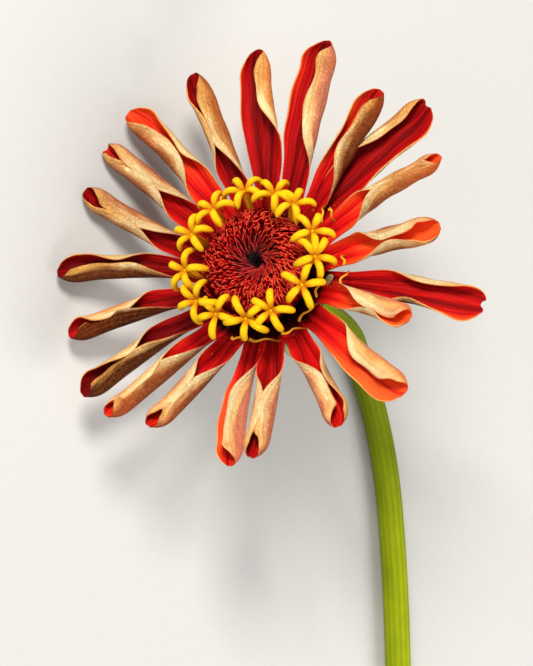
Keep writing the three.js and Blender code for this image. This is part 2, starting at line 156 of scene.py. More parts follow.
def linked(data: bpy.types.ID) -> Piece:
    """A new object of a mesh, light or camera, under its name and linked to the scene.

    Args:
        data: The mesh, light or camera.

    Returns:
        The object.
    """
    made = bpy.data.objects.new(data.name, data)
    bpy.context.scene.collection.objects.link(made)
    return made


@dataclass
class Surface:
    """The shape of one piece: n points, arrays of faces of one size each, and named values.

    A face is a row of point indices. The values, one for each point, are what materials read.
    """

    points: Array
    faces: list[Array]
    values: dict[str, Array] = field(default_factory=dict)

    @classmethod
    def spread(cls, points: Array, faces: list[Array], values: dict[str, Array]) -> "Surface":
        """A surface whose points come as an array of grids, with values spread over them."""
        flat = {key: np.broadcast_to(v, points.shape[:-1]).ravel() for key, v in values.items()}
        return cls(points.reshape(-1, 3), faces, flat)

    @classmethod
    def tubes(cls, points: Array, **values: Array | float) -> "Surface":
        """Closed tubes: quads round each one and a flat cap at both ends.

        Args:
            points: Rings of points as (count, stations, sides, 3).
            **values: Named values that broadcast to (count, stations, sides).

        Returns:
            All the tubes as one surface.
        """
        count, stations, sides = points.shape[:3]
        ring = np.arange(stations - 1)[:, None] * sides
        j = np.arange(sides)[None, :]
        after = (j + 1) % sides
        quads = np.stack([ring + j, ring + after, ring + after + sides, ring + j + sides], -1)
        caps = np.stack([np.arange(sides)[::-1], (stations - 1) * sides + np.arange(sides)])
        shift = np.arange(count)[:, None, None] * stations * sides
        kinds = (quads.reshape(-1, 4), caps)
        faces = [(kind[None] + shift).reshape(-1, kind.shape[1]) for kind in kinds]
        return cls.spread(points, faces, values)

    @classmethod
    def blades(cls, middle: Array, half: Array, **values: Array | float) -> "Surface":
        """Closed thin blades: an upper and a lower grid of points, joined at the four rims.

        Args:
            middle: Middle surfaces as (count, rows, columns, 3), columns from right to left.
            half: Half thicknesses, which broadcast to (count, rows, columns).
            **values: Named values that broadcast to (count, 2, rows, columns), upper grid first.

        Returns:
            All the blades as one surface. The grids lie half a thickness off the middle, along
            the cross product of its two gradients.
        """
        count, rows, columns = middle.shape[:3]
        normal = unit(np.cross(np.gradient(middle, axis=1), np.gradient(middle, axis=2)))
        off = half[..., None] * normal
        at = np.arange(rows * columns).reshape(rows, columns)
        under = at + rows * columns
        corners = (
            (at[:-1, :-1], at[1:, :-1], at[1:, 1:], at[:-1, 1:]),
            (under[:-1, :-1], under[:-1, 1:], under[1:, 1:], under[1:, :-1]),
            (at[:-1, 0], under[:-1, 0], under[1:, 0], at[1:, 0]),
            (at[:-1, -1], at[1:, -1], under[1:, -1], under[:-1, -1]),
            (at[0, :-1], at[0, 1:], under[0, 1:], under[0, :-1]),
            (at[-1, :-1], under[-1, :-1], under[-1, 1:], at[-1, 1:]),
        )
        one = np.concatenate([np.stack(four, -1).reshape(-1, 4) for four in corners])
        shift = np.arange(count)[:, None, None] * 2 * at.size
        faces = [(one[None] + shift).reshape(-1, 4)]
        return cls.spread(np.stack([middle + off, middle - off], 1), faces, values)

    @staticmethod
    def joined(surfaces: list["Surface"]) -> "Surface":
        """Several surfaces as one.

        Args:
            surfaces: Surfaces that all carry the same named values.

        Returns:
            One surface, with each one's face indices moved past the points before it.
        """
        starts = np.cumsum([0] + [len(s.points) for s in surfaces])
        faces = [f + start for s, start in zip(surfaces, starts) for f in s.faces]
        names = surfaces[0].values
        values = {n: np.concatenate([s.values[n] for s in surfaces]) for n in names}
        return Surface(np.concatenate([s.points for s in surfaces]), faces, values)

    def placed(self) -> "Surface":
        """The surface moved from the head's frame to the row's."""
        return Surface(LIE.place(self.points), self.faces, self.values)

    def build(self, name: str, material: Material) -> Piece:
        """Makes the mesh object, in metres, smooth shaded and with its values as attributes.

        Args:
            name: The object's name.
            material: Its one material.

        Returns:
            The object, linked to the scene, at the origin.
        """
        mesh = bpy.data.meshes.new(name)
        loops = np.concatenate([f.ravel() for f in self.faces])
        sizes = np.concatenate([np.full(len(f), f.shape[1]) for f in self.faces])
        starts = np.concatenate([[0], np.cumsum(sizes)[:-1]])
        mesh.vertices.add(len(self.points))
        mesh.vertices.foreach_set("co", (self.points * METRES).astype(np.float32).ravel())
        mesh.loops.add(len(loops))
        mesh.loops.foreach_set("vertex_index", loops.astype(np.int32))
        mesh.polygons.add(len(sizes))
        mesh.polygons.foreach_set("loop_start", starts.astype(np.int32))
        mesh.polygons.foreach_set("use_smooth", np.ones(len(sizes), bool))
        mesh.update(calc_edges=True)
        mesh.validate()
        for key, numbers in self.values.items():
            layer = mesh.attributes.new(key, "FLOAT", "POINT")
            layer.data.foreach_set("value", numbers.astype(np.float32))
        mesh.materials.append(material)
        return linked(mesh)


def dressed(shapes: dict[str, Surface], material: Material) -> list[Piece]:
    """Builds shapes of the head's frame under their names, all in one material."""
    return [shape.placed().build(name, material) for name, shape in shapes.items()]


def swept(
    path: Array, wide: Array, thick: Array, sides: int, upright: Array, ribs: Array | float = 1.0
) -> Array:
    """Rings of points round paths: an ellipse carried along each path, square to it.

    Args:
        path: Paths as (count, stations, 3).
        wide: Half widths, which broadcast to (count, stations).
        thick: Half thicknesses, the same.
        sides: Points in a ring.
        upright: The way the thickness roughly points; broadcasts to the paths.
        ribs: Factors on the distance of a ring's points from the path.

    Returns:
        Points as (count, stations, sides, 3), counter-clockwise seen against the path.
    """
    along = unit(np.gradient(path, axis=1))
    side = unit(np.cross(np.broadcast_to(upright, along.shape), along))
    top = np.cross(along, side)
    angle = 2 * pi * np.arange(sides)[:, None] / sides
    wide, thick = (np.broadcast_to(w, path.shape[:2])[..., None, None] for w in (wide, thick))
    ring = wide * np.cos(angle) * side[..., None, :] + thick * np.sin(angle) * top[..., None, :]
    return path[..., None, :] + ring * np.reshape(ribs, (-1, 1))


def bow(start: Array, middle: Array, end: Array, stations: int) -> Array:
    """Curves of start, middle and end points weighted by (1 - t) squared, 2t (1 - t), t squared."""
    t = np.linspace(0, 1, stations)[:, None]
    return (1 - t) ** 2 * start[:, None] + 2 * t * (1 - t) * middle[:, None] + t**2 * end[:, None]


# Shader maths


@dataclass(frozen=True)
class Signal:
    """A shader socket that Python's operators add Math nodes to."""

    graph: "Graph"
    socket: bpy.types.NodeSocket

    def _math(self, operation: str, *inputs: object) -> "Signal":
        """A Math node of that operation on the given inputs."""
        return self.graph.node("ShaderNodeMath", {"operation": operation}, dict(enumerate(inputs)))

    def __add__(self, other: object) -> "Signal":
        """This value plus another."""
        return self._math("ADD", self, other)

    def __sub__(self, other: object) -> "Signal":
        """This value less another."""
        return self._math("SUBTRACT", self, other)

    def __rsub__(self, other: object) -> "Signal":
        """Another value less this one."""
        return self._math("SUBTRACT", other, self)

    def __mul__(self, other: object) -> "Signal":
        """This value times another."""
        return self._math("MULTIPLY", self, other)

    def __pow__(self, power: float) -> "Signal":
        """This value to a power."""
        return self._math("POWER", self, power)

    __radd__, __rmul__ = __add__, __mul__

    def __abs__(self) -> "Signal":
        """This value without its sign."""
        return self._math("ABSOLUTE", self)

    def sine(self) -> "Signal":
        """The sine of this value, in radians."""
        return self._math("SINE", self)

    def between(self, low: float, high: float) -> "Signal":
        """A smooth rise from 0 where this value is low to 1 where it is high.

        Args:
            low: Value at which the rise starts.
            high: Value at which it ends; below low, the rise is a fall.

        Returns:
            The rise.
        """
        if low > high:
            return 1 - self.between(high, low)
        return self.graph.node(
            "ShaderNodeMapRange", {"interpolation_type": "SMOOTHSTEP"},
            {"Value": self, "From Min": low, "From Max": high, "To Min": 0.0, "To Max": 1.0},
        )


class Graph:
    """A material's node tree, built by expressions."""

    def __init__(self, name: str) -> None:
        """Starts an empty material.

        Args:
            name: The material's name.
        """
        self.material = bpy.data.materials.new(name)
        self.material.use_nodes = True
        self.tree = self.material.node_tree
        self.tree.nodes.clear()

    def node(
        self, kind: str, settings: dict[str, object], inputs: dict[object, object],
        output: object = 0,
    ) -> Signal | None:
        """Adds any node.

        Args:
            kind: The node's type.
            settings: Its properties, set first.
            inputs: What each input socket, by name or number, holds or is linked to.
            output: Which output to return.

        Returns:
            The output as a signal, or nothing for a node without outputs.
        """
        made = self.tree.nodes.new(kind)
        for key, value in settings.items():
            setattr(made, key, value)
        for key, value in inputs.items():
            socket = made.inputs[key]
            if isinstance(value, Signal):
                self.tree.links.new(value.socket, socket)
            else:
                socket.default_value = (*value, 1) if socket.type == "RGBA" else value
        return Signal(self, made.outputs[output]) if made.outputs else None

    def values(self, *names: str) -> list[Signal]:
        """Numbers that the mesh holds for each point, by their attributes' names."""
        kind = "ShaderNodeAttribute"
        return [self.node(kind, {"attribute_name": name}, {}, "Fac") for name in names]

    def point(self) -> Signal:
        """The point of the surface in the object's coordinates, in mm."""
        inputs = {0: self.node("ShaderNodeTexCoord", {}, {}, "Object"), "Scale": 1 / METRES}
        return self.node("ShaderNodeVectorMath", {"operation": "SCALE"}, inputs)

    def vector(self, x: object, y: object, z: object) -> Signal:
        """A vector of three values."""
        return self.node("ShaderNodeCombineXYZ", {}, {0: x, 1: y, 2: z})

    def noise(self, place: Signal, scale: float, detail: float = 3, rough: float = 0.55) -> Signal:
        """Noise from 0 to 1: clouds for each unit of place, finer layers and their strength."""
        inputs = {"Vector": place, "Scale": scale, "Detail": detail, "Roughness": rough}
        return self.node("ShaderNodeTexNoise", {}, inputs)

    def cells(self, feature: str, place: Signal, scale: float) -> Signal:
        """A feature of the random cells round scattered points, so many for each unit of place."""
        inputs = {"Vector": place, "Scale": scale, "Randomness": 1.0}
        return self.node("ShaderNodeTexVoronoi", {"feature": feature}, inputs)

    def layered(self, colour: object, *layers: tuple[object, object]) -> Signal:
        """A colour with others laid over it in order.

        Args:
            colour: The ground.
            *layers: The share of each layer, cut to 0 to 1, and its colour.

        Returns:
            The mixture.
        """
        for share, layer in layers:
            inputs = {0: share, 6: colour, 7: layer}
            colour = self.node("ShaderNodeMix", {"data_type": "RGBA"}, inputs, 2)
        return colour

    def finish(
        self, colour: Signal, rough: Signal, specular: float, height: Signal | None = None,
        relief: float = 0.0, strength: float = 1.0,
    ) -> Material:
        """Closes the graph with one Principled BSDF.

        Args:
            colour: The base colour.
            rough: The roughness.
            specular: The level of the reflections.
            height: Bumps, if any.
            relief: What a height of 1 stands for.
            strength: How much of the bumps is used.

        Returns:
            The material.
        """
        inputs = {"Base Color": colour, "Roughness": rough, "Specular IOR Level": specular}
        if height:
            bumps = {"Height": height, "Distance": relief * METRES, "Strength": strength}
            inputs["Normal"] = self.node("ShaderNodeBump", {}, bumps)
        shader = self.node("ShaderNodeBsdfPrincipled", {}, inputs)
        self.node("ShaderNodeOutputMaterial", {}, {"Surface": shader})
        return self.material


# Finishes


@dataclass(frozen=True)
class RayFinish:
    """Velvety crimson above, dimmed or lit orange ray by ray as painted light; below, crinkled
    gold, cream or mauve that browns at the fold, partly as painted shade.
    """

    black: Colour = (0.030, 0.001, 0.001)
    deep: Colour = (0.14, 0.0005, 0.001)
    red: Colour = (0.80, 0.006, 0.006)
    painted_glow: Colour = (0.98, 0.12, 0.020)
    rim: Colour = (0.98, 0.44, 0.12)
    brown: Colour = (0.16, 0.034, 0.003)
    copper: Colour = (0.60, 0.155, 0.020)
    gold: Colour = (0.84, 0.30, 0.030)
    straw: Colour = (0.98, 0.50, 0.105)
    cream: Colour = (1.0, 0.83, 0.42)
    peach: Colour = (0.98, 0.58, 0.25)
    mauve: Colour = (0.50, 0.15, 0.115)
    rose: Colour = (0.58, 0.14, 0.045)
    umber: Colour = (0.23, 0.040, 0.006)
    dusk: Colour = (0.045, 0.008, 0.0005)
    wine: Colour = (0.42, 0.016, 0.010)
    rust: Colour = (0.36, 0.085, 0.012)
    pollen: Colour = (0.85, 0.42, 0.02)
    specular: float = 0.08
    relief: float = 0.17

    def material(self) -> Material:
        """The rays' material.

        Returns:
            A material that reads, at each point, how far along and across the blade it is,
            whether it is on the upper face, and the ray's own blush, brownness with its painted
            shade, painted light and number.
        """
        g = Graph("ray petal")
        along, across, upper, number = g.values("along", "across", "upper", "number")
        glow, tan, blush = g.values("glow", "tan", "blush")
        aside = abs(across)
        streaks = g.noise(g.vector(along * 2.0, across * 9.0, number * 3.1), 1.0, 4, 0.6)
        clouds = g.noise(g.vector(along * 6.0, across * 3.0, number * 1.7), 1.0)
        grain = g.noise(g.vector(along * 60.0, across * 18.0, number), 1.0, 3, 0.65)
        veins = (across * 40 + clouds * 6).sine() * 0.5 + 0.5
        folds = g.vector(along * 48 + clouds * 6, across * 13 + streaks * 4, number * 5)
        crinkle = g.cells("DISTANCE_TO_EDGE", folds, 1.0).between(0.0, 0.22)

        # The face: crimson, darker where a ray is set dim, as painted shade, and orange where it is
        # set bright, as a painted glowing of the thin blade.
        # Painted shade in the creases on each side of the midrib.
        crease_shade = abs(aside - 0.33).between(0.17, 0.0)
        level = streaks.between(0.3, 0.7) * 0.26 + aside.between(0.35, 0.95) * 0.2
        level = level + glow * (along.between(0.1, 0.5) * 0.4 + 0.55) - crease_shade * 0.25
        level = level - veins**4 * 0.12
        glow_reach = (along.between(0.25, 0.75) + aside.between(0.6, 1.0)) * (glow * 0.4 + 0.05)
        lit = (glow_reach + level * 1.1).between(0.7, 1.6) * along.between(0.05, 0.5)
        face = g.layered(self.deep, (level.between(0.0, 0.9), self.red), (lit, self.painted_glow))

        # The back, from the fold over the crest to the pale seam at the edge: paler toward the seam
        # partly as a painted highlight, and paler on brightly lit rays as painted light.
        pink = blush * 1.3 + along.between(0.75, 0.3) * 0.5 + clouds * 0.8 - tan * 0.5
        fold = g.layered(
            self.gold,
            (tan.between(0.0, 0.6), self.copper),
            (tan.between(0.55, 0.95), self.brown),
            (pink.between(0.3, 1.0) * 0.95, self.mauve),
        )
        pale = clouds * 0.8 + streaks * 0.4 + glow * 0.35 - tan * 0.3
        pale = pale - along.between(0.55, 1.0) * 0.4
        crest = g.layered(
            self.gold, (pale.between(0.3, 0.85), self.straw), (blush * 1.4, self.peach)
        )
        seam = g.layered(
            self.straw,
            (pale.between(0.05, 0.7), self.cream),
            (blush * along.between(0.8, 0.35) * 0.6, self.mauve),
        )
        shade = g.layered(
            self.rose, (tan.between(0.1, 0.6), self.umber), (tan.between(0.6, 1.0), self.dusk)
        )
        toward = aside * 2.4 - 1.85 + (clouds - 0.5) * 0.8 + (streaks - 0.5) * 0.6
        under = aside - tan**4 * 0.1 + (clouds - 0.5) * 0.35 + (streaks - 0.5) * 0.3
        back = g.layered(
            fold,
            (toward.between(-0.6, -0.15), crest),
            (toward.between(-0.25, 0.3), seam),
            # Painted shade toward the fold, stronger on the browner sides, where it is also their
            # own brown.
            (under.between(0.92, 0.54) * (0.15 + tan * 1.1), shade),
            # Rust along the crinkles' edges, partly painted shade in their creases.
            (crinkle.between(1.0, 0.0) * (0.08 + tan * 0.2), self.rust),
            # Cream flecks in the grain, partly painted glints.
            (grain.between(0.45, 0.6) * (0.12 - tan * 0.1), self.cream),
            (veins**3 * (0.12 + tan * 0.12), self.rust),
            ((along + aside * 0.1).between(0.55, 0.2), self.wine),
            # Painted orange glowing near the tips of brightly lit rays.
            (along.between(0.6, 1.0) * glow * 0.3, self.painted_glow),
        )

        # Both, with a bright rim that is partly a painted highlight, a black root that is painted
        # shade deep in the head, and a little pollen near it.
        edge = aside.between(0.95, 0.998)
        near = along.between(0.45, 0.2) * upper * clouds.between(0.5, 0.6)
        colour = g.layered(
            back,
            (upper, face),
            (edge * along.between(0.5, 0.2) * 0.7, self.red),
            (edge * along.between(0.35, 0.6) * 0.75, self.rim),
            (along.between(0.15, 0.085), self.black),
            (g.cells("F1", g.point(), 0.8).between(0.12, 0.09) * near, self.pollen),
        )
        height = (veins * 0.3 + streaks * 0.3) * (1.0 - upper * 0.45) + grain * 0.2
        height = height + (crinkle * (tan * 0.6 + 0.35) + grain * 0.4) * (1.0 - upper * 0.85)
        rough = 0.40 + grain * 0.2 + upper * 0.10
        return g.finish(colour, rough, self.specular, height, self.relief, strength=0.95)


@dataclass(frozen=True)
class FloretFinish:
    """Downy yellow lobes, lighter on top as a painted highlight and deeper at their sides and
    throat as painted shade, over striped orange tubes.
    """

    lemon: Colour = (1.0, 0.70, 0.006)
    yellow: Colour = (0.97, 0.50, 0.001)
    ochre: Colour = (0.66, 0.21, 0.001)
    orange: Colour = (0.72, 0.20, 0.008)
    brown: Colour = (0.24, 0.04, 0.006)
    stripes: int = 5
    specular: float = 0.12
    relief: float = 0.17

    def material(self) -> Material:
        """The florets' material.

        Returns:
            A material that reads how far up the tube a point is, how far round it, how near the
            top of its lobe and how far out along the lobe.
        """
        g = Graph("floret")
        tube, turn, top, out = g.values("tube", "turn", "top", "out")
        down = g.noise(g.point(), 5.5, 3, 0.75)
        patches = g.noise(g.point(), 1.1, 2)
        # Lobes: ochre at the sides and throat as painted shade, yellow and lemon toward the top as
        # painted light, and orange where the down dips, partly painted shade.
        lobe = g.layered(
            self.ochre,
            ((top + patches * 0.6).between(0.45, 1.2), self.yellow),
            ((top * 0.9 + down * 0.6 + out * 0.2).between(0.95, 1.5), self.lemon),
            (out.between(0.36, 0.06) * 0.8, self.ochre),
            (down.between(0.46, 0.32) * 0.45, self.orange),
        )
        stripe = (turn * 2 * pi * self.stripes).sine().between(0.35, 0.95)
        colour = g.layered(
            self.orange,
            (tube.between(0.1, 0.95), self.yellow),
            (stripe * tube.between(1.0, 0.6) * 0.65, self.brown),
            (tube.between(0.45, 0.1) * 0.8, self.brown),
            (tube.between(0.985, 1.0), lobe),
        )
        return g.finish(colour, 0.46 + down * 0.25, self.specular, down, self.relief)


@dataclass(frozen=True)
class ChaffFinish:
    """Glossy crimson scales with painted orange highlights where their arcs crest, pinker near the
    eye partly as a painted sheen, black at their roots as painted shade, and black round the eye,
    partly as painted shade.
    """

    black: Colour = (0.008, 0.001, 0.002)
    wine: Colour = (0.26, 0.001, 0.004)
    crimson: Colour = (0.74, 0.004, 0.006)
    orange: Colour = (0.98, 0.13, 0.035)
    pink: Colour = (0.80, 0.08, 0.11)
    specular: float = 0.34
    relief: float = 0.05

    def material(self) -> Material:
        """The disc scales' material.

        Returns:
            A material that reads how far along its scale a point is, how far from the eye, and
            how bright the scale is.
        """
        g = Graph("disc scale")
        along, far, bright = g.values("along", "far", "bright")
        mottle = g.noise(g.point(), 3.0, 2)
        # Painted highlight: orange where each scale's arc stands highest.
        crest = 1.0 - abs(along - 0.55) * 2.0 + bright * 0.5 + mottle * 0.5 + far * 0.3
        # Black round the eye, partly its own dark and partly painted shade in its hollow.
        dark = (far + mottle * 0.12).between(0.3, 0.14)
        colour = g.layered(
            self.wine,
            ((along + bright * 0.3).between(0.1, 0.65), self.crimson),
            # Pink near the eye, partly a painted sheen.
            (far.between(0.5, 0.2) * along.between(0.4, 0.9) * 0.55, self.pink),
            (crest.between(1.3, 1.8) * 0.75, self.orange),
            # Black at the scales' roots, painted shade in the gaps between them.
            ((along + far * 0.5).between(0.85, 0.42), self.black),
            (dark, self.black),
        )
        rough = 0.24 + mottle * 0.2 + dark * 0.5
        return g.finish(colour, rough, self.specular, mottle, self.relief, strength=0.6)


@dataclass(frozen=True)
class CoreFinish:
    """The dark ground between the disc's scales, black round the eye, partly as painted shade, and
    black as painted shade where it lies deep.
    """

    black: Colour = (0.004, 0.0005, 0.0005)
    wine: Colour = (0.05, 0.0005, 0.001)
    crimson: Colour = (0.30, 0.002, 0.004)
    specular: float = 0.08
    relief: float = 0.2

    def material(self) -> Material:
        """The disc core's material.

        Returns:
            A material that is black round the eye, partly as painted shade, and black as painted
            shade where a piece gives no far value; elsewhere crimson and wine in fine cells.
        """
        g = Graph("disc core")
        (far,) = g.values("far")
        cells = g.noise(g.point(), 3.5, 3, 0.6)
        ground = g.layered(self.wine, (cells.between(0.4, 0.62), self.crimson))
        colour = g.layered(self.black, ((far + cells * 0.3).between(0.45, 0.8), ground))
        return g.finish(colour, 0.75 + cells * 0.2, self.specular, cells, self.relief, strength=0.8)


@dataclass(frozen=True)
class StyleFinish:
    """Glossy orange-yellow threads."""

    yellow: Colour = (0.92, 0.45, 0.01)
    orange: Colour = (0.62, 0.17, 0.008)
    specular: float = 0.4
    relief: float = 0.04

    def material(self) -> Material:
        """The styles' material.

        Returns:
            A material that is orange at the root and yellow in the arms, with a fine down.
        """
        g = Graph("style")
        (along,) = g.values("along")
        down = g.noise(g.point(), 9.0, 2, 0.6)
        colour = g.layered(self.orange, ((along + down * 0.4).between(0.1, 0.9), self.yellow))
        return g.finish(colour, 0.35 + down * 0.25, self.specular, down, self.relief, strength=0.6)


@dataclass(frozen=True)
class BractFinish:
    """Green bracts, paler at their roots, with a dark fringe at the tip."""

    green: Colour = (0.12, 0.24, 0.035)
    pale: Colour = (0.50, 0.54, 0.26)
    dark: Colour = (0.018, 0.022, 0.010)
    specular: float = 0.35
    relief: float = 0.1

    def material(self) -> Material:
        """The bracts' material.

        Returns:
            A material that reads how far up its bract a point is and how near to its margin.
        """
        g = Graph("bract")
        along, across = g.values("along", "across")
        mottle = g.noise(g.point(), 2.2, 4)
        veins = (across * 16 + mottle * 2).sine() * 0.5 + 0.5
        edge = (along**3 * 0.9 + abs(across) ** 3 * 0.5 + mottle * 0.2).between(0.72, 0.98)
        colour = g.layered(
            self.green,
            (along.between(0.9, 0.1), self.pale),
            (veins**3 * 0.35, self.pale),
            (edge, self.dark),
        )
        height = veins * 0.6 + mottle * 0.4
        rough = 0.5 + mottle * 0.2
        return g.finish(colour, rough, self.specular, height, self.relief, strength=0.8)


@dataclass(frozen=True)
class StemFinish:
    """Yellow-green stem with fine lengthwise ribs, darker flecks and a pale cut face."""

    light: Colour = (0.38, 0.43, 0.003)
    green: Colour = (0.16, 0.24, 0.001)
    shade: Colour = (0.07, 0.12, 0.002)
    pith: Colour = (0.72, 0.74, 0.46)
    ring: Colour = (0.30, 0.44, 0.12)
    ribs: int = 14
    specular: float = 0.1
    relief: float = 0.12

    def material(self) -> Material:
        """The stem's material.

        Returns:
            A material that reads how far down the stem a point is, how far round it, and how far
            from the middle of the cut face.
        """
        g = Graph("stem")
        along, turn, out = g.values("along", "turn", "out")
        clouds = g.noise(g.vector(turn * 2, along * 9, 0.0), 1.0)
        fleck = g.noise(g.point(), 2.4, 3, 0.65)
        ribs = (turn * 2 * pi * self.ribs + clouds * 3).sine() * 0.5 + 0.5
        cut = g.layered(self.pith, (out.between(0.62, 0.8), self.ring))
        colour = g.layered(
            self.light,
            (clouds.between(0.3, 0.75) * 0.7, self.green),
            # Painted shade over the stretch below the head, which the head shades.
            (along.between(0.04, 0.14) * along.between(0.5, 0.25) * 0.55, self.shade),
            (ribs**2 * 0.3, self.shade),
            (fleck.between(0.58, 0.72) * 0.35, self.shade),
            (out.between(0.995, 0.93), cut),
        )
        height = ribs * 0.7 + fleck * 0.3
        rough = 0.38 + fleck * 0.25
        return g.finish(colour, rough, self.specular, height, self.relief, strength=0.8)


# Rays


@dataclass(frozen=True)
class Side:
    """One side of a ray's blade, from the midrib to an edge."""

    half: float
    fold: float  # share of the width at which it bends most
    # Degrees that the edge turns over the upper face, at six even steps from the root.
    turns: tuple[float, ...]
    tan: float  # 0 for a pale back, 1 for a brown one; it also sets how much painted shade darkens the back toward the fold


@dataclass(frozen=True)
class Ray:
    """One ray petal."""

    azimuth: float
    length: float
    lift: float  # rise above the level of the roots, in degrees
    sway: float  # turn of its course to the left, in degrees
    left: Side  # seen from above with the tip away
    right: Side
    blush: float = 0.3  # 0 for a golden back, 1 for a mauve one
    glow: float = 0.5  # 0 for a dark crimson face, as painted shade, 1 for a bright one, as painted light and glowing
    round: float = 0.06  # how far the edges stop short of the tip, as a share of the length
    notch: float = 0.0  # depth of the notch in the tip, as a share of the length
    scoop: float = 40  # how far the tip curves up, in degrees


RAYS = (
    Ray(68, 28.3, 15, 0, Side(4.1, .5, (30, 33, 36, 40, 45, 60), .4),
        Side(5.0, .4, (32, 36, 75, 175, 215, 175), .2), .5, .25),
    Ray(52, 24.7, 11, -2, Side(3.4, .6, (30, 33, 50, 120, 100, 80), .3),
        Side(4.8, .42, (30, 32, 80, 190, 190, 150), .8), .1, .45),
    Ray(48, 27, 6, -17, Side(4.2, .5, (30, 32, 48, 140, 190, 140), .45),
        Side(4.4, .7, (30, 32, 42, 95, 70, 35), .6), .1, .22, .05, .02, 20),
    Ray(32.5, 24, 6, -14.5, Side(3.4, .5, (30, 33, 75, 170, 190, 135), .4),
        Side(4.6, .4, (30, 32, 70, 188, 210, 140), .5), .15, .85),
    Ray(10, 20.8, 10, -8, Side(4.6, .46, (30, 34, 90, 182, 148, 115), .5),
        Side(3.6, .5, (30, 32, 60, 138, 118, 80), .7), .45, 1),
    Ray(-8, 25.7, 0, -11, Side(3.5, .55, (30, 32, 55, 135, 135, 80), .5),
        Side(3.4, .62, (30, 33, 45, 132, 70, 25), 1), .2, .35, .04, .03, 10),
    Ray(-21, 21.4, 21, -8, Side(4.8, .42, (30, 36, 110, 190, 205, 155), .05),
        Side(3.0, .5, (30, 32, 65, 130, 85, 60), .4), .3, 1.15),
    Ray(-42, 22.6, 9, 0, Side(4.9, .42, (30, 35, 85, 190, 185, 140), 0),
        Side(3.5, .7, (30, 33, 42, 65, 38, 25), .4), .2, .75, .04, 0, 20),
    Ray(-59, 22.2, 16, -8, Side(3.4, .5, (30, 33, 60, 140, 95, 75), .65),
        Side(4.6, .44, (30, 35, 90, 190, 200, 150), .25), .5, .45),
    Ray(-81, 23.2, 17, -20, Side(4.4, .45, (30, 33, 80, 182, 165, 125), .4),
        Side(4.0, .5, (30, 36, 90, 185, 170, 130), .2), .6, .3),
    Ray(-99, 22.3, 11, 8, Side(5.2, .36, (30, 38, 110, 195, 200, 150), .2),
        Side(3.0, .6, (30, 32, 36, 45, 55, 65), .2), .45, .5),
    Ray(-116, 21.2, 19, -19, Side(4.2, .48, (30, 35, 85, 178, 185, 135), .6),
        Side(4.2, .48, (30, 36, 95, 188, 190, 130), .2), .5, .45),
    Ray(-135, 23.2, 15, -3, Side(4.8, .40, (32, 60, 125, 195, 212, 150), .65),
        Side(3.6, .5, (30, 34, 75, 170, 180, 110), .1), .3, .55),
    Ray(-153, 23.6, 9, 15, Side(4.4, .44, (32, 58, 120, 180, 195, 140), 1),
        Side(3.8, .5, (30, 32, 68, 155, 120, 80), .2), .25, .02),
    Ray(-171, 22.2, 9, 15, Side(4.3, .44, (32, 58, 120, 180, 200, 145), 1.25),
        Side(3.8, .5, (30, 32, 70, 168, 160, 85), .15), .2, .3),
    Ray(170, 22.9, 17, 20, Side(4.3, .44, (32, 62, 125, 185, 200, 145), .9),
        Side(3.8, .5, (30, 32, 65, 145, 100, 70), .4), .3, .08),
    Ray(156, 22.4, 17, -13, Side(3.6, .5, (30, 33, 80, 155, 140, 105), .6),
        Side(4.4, .44, (32, 62, 125, 190, 195, 130), .45), .5, .25),
    Ray(136, 23.4, 15.5, 4, Side(4.1, .48, (30, 36, 78, 172, 180, 125), .55),
        Side(4.3, .47, (30, 38, 98, 186, 185, 130), .45), .6, .45, .03, .015, 15),
    Ray(119, 25.0, 13, 20, Side(4.7, .43, (30, 36, 88, 182, 180, 125), .5),
        Side(3.8, .52, (30, 32, 52, 135, 105, 65), .3), .35, .7),
    Ray(103, 24.6, 16, 7, Side(3.4, .54, (30, 34, 72, 155, 115, 85), .6),
        Side(4.8, .42, (31, 44, 98, 188, 190, 145), .45), .15, .2),
    Ray(86, 25.9, 16, 2, Side(3.3, .5, (25, 27, 28, 30, 38, 70), .3),
        Side(4.4, .45, (30, 32, 36, 95, 205, 160), .15), .15, .18, .06, 0, 25),
)


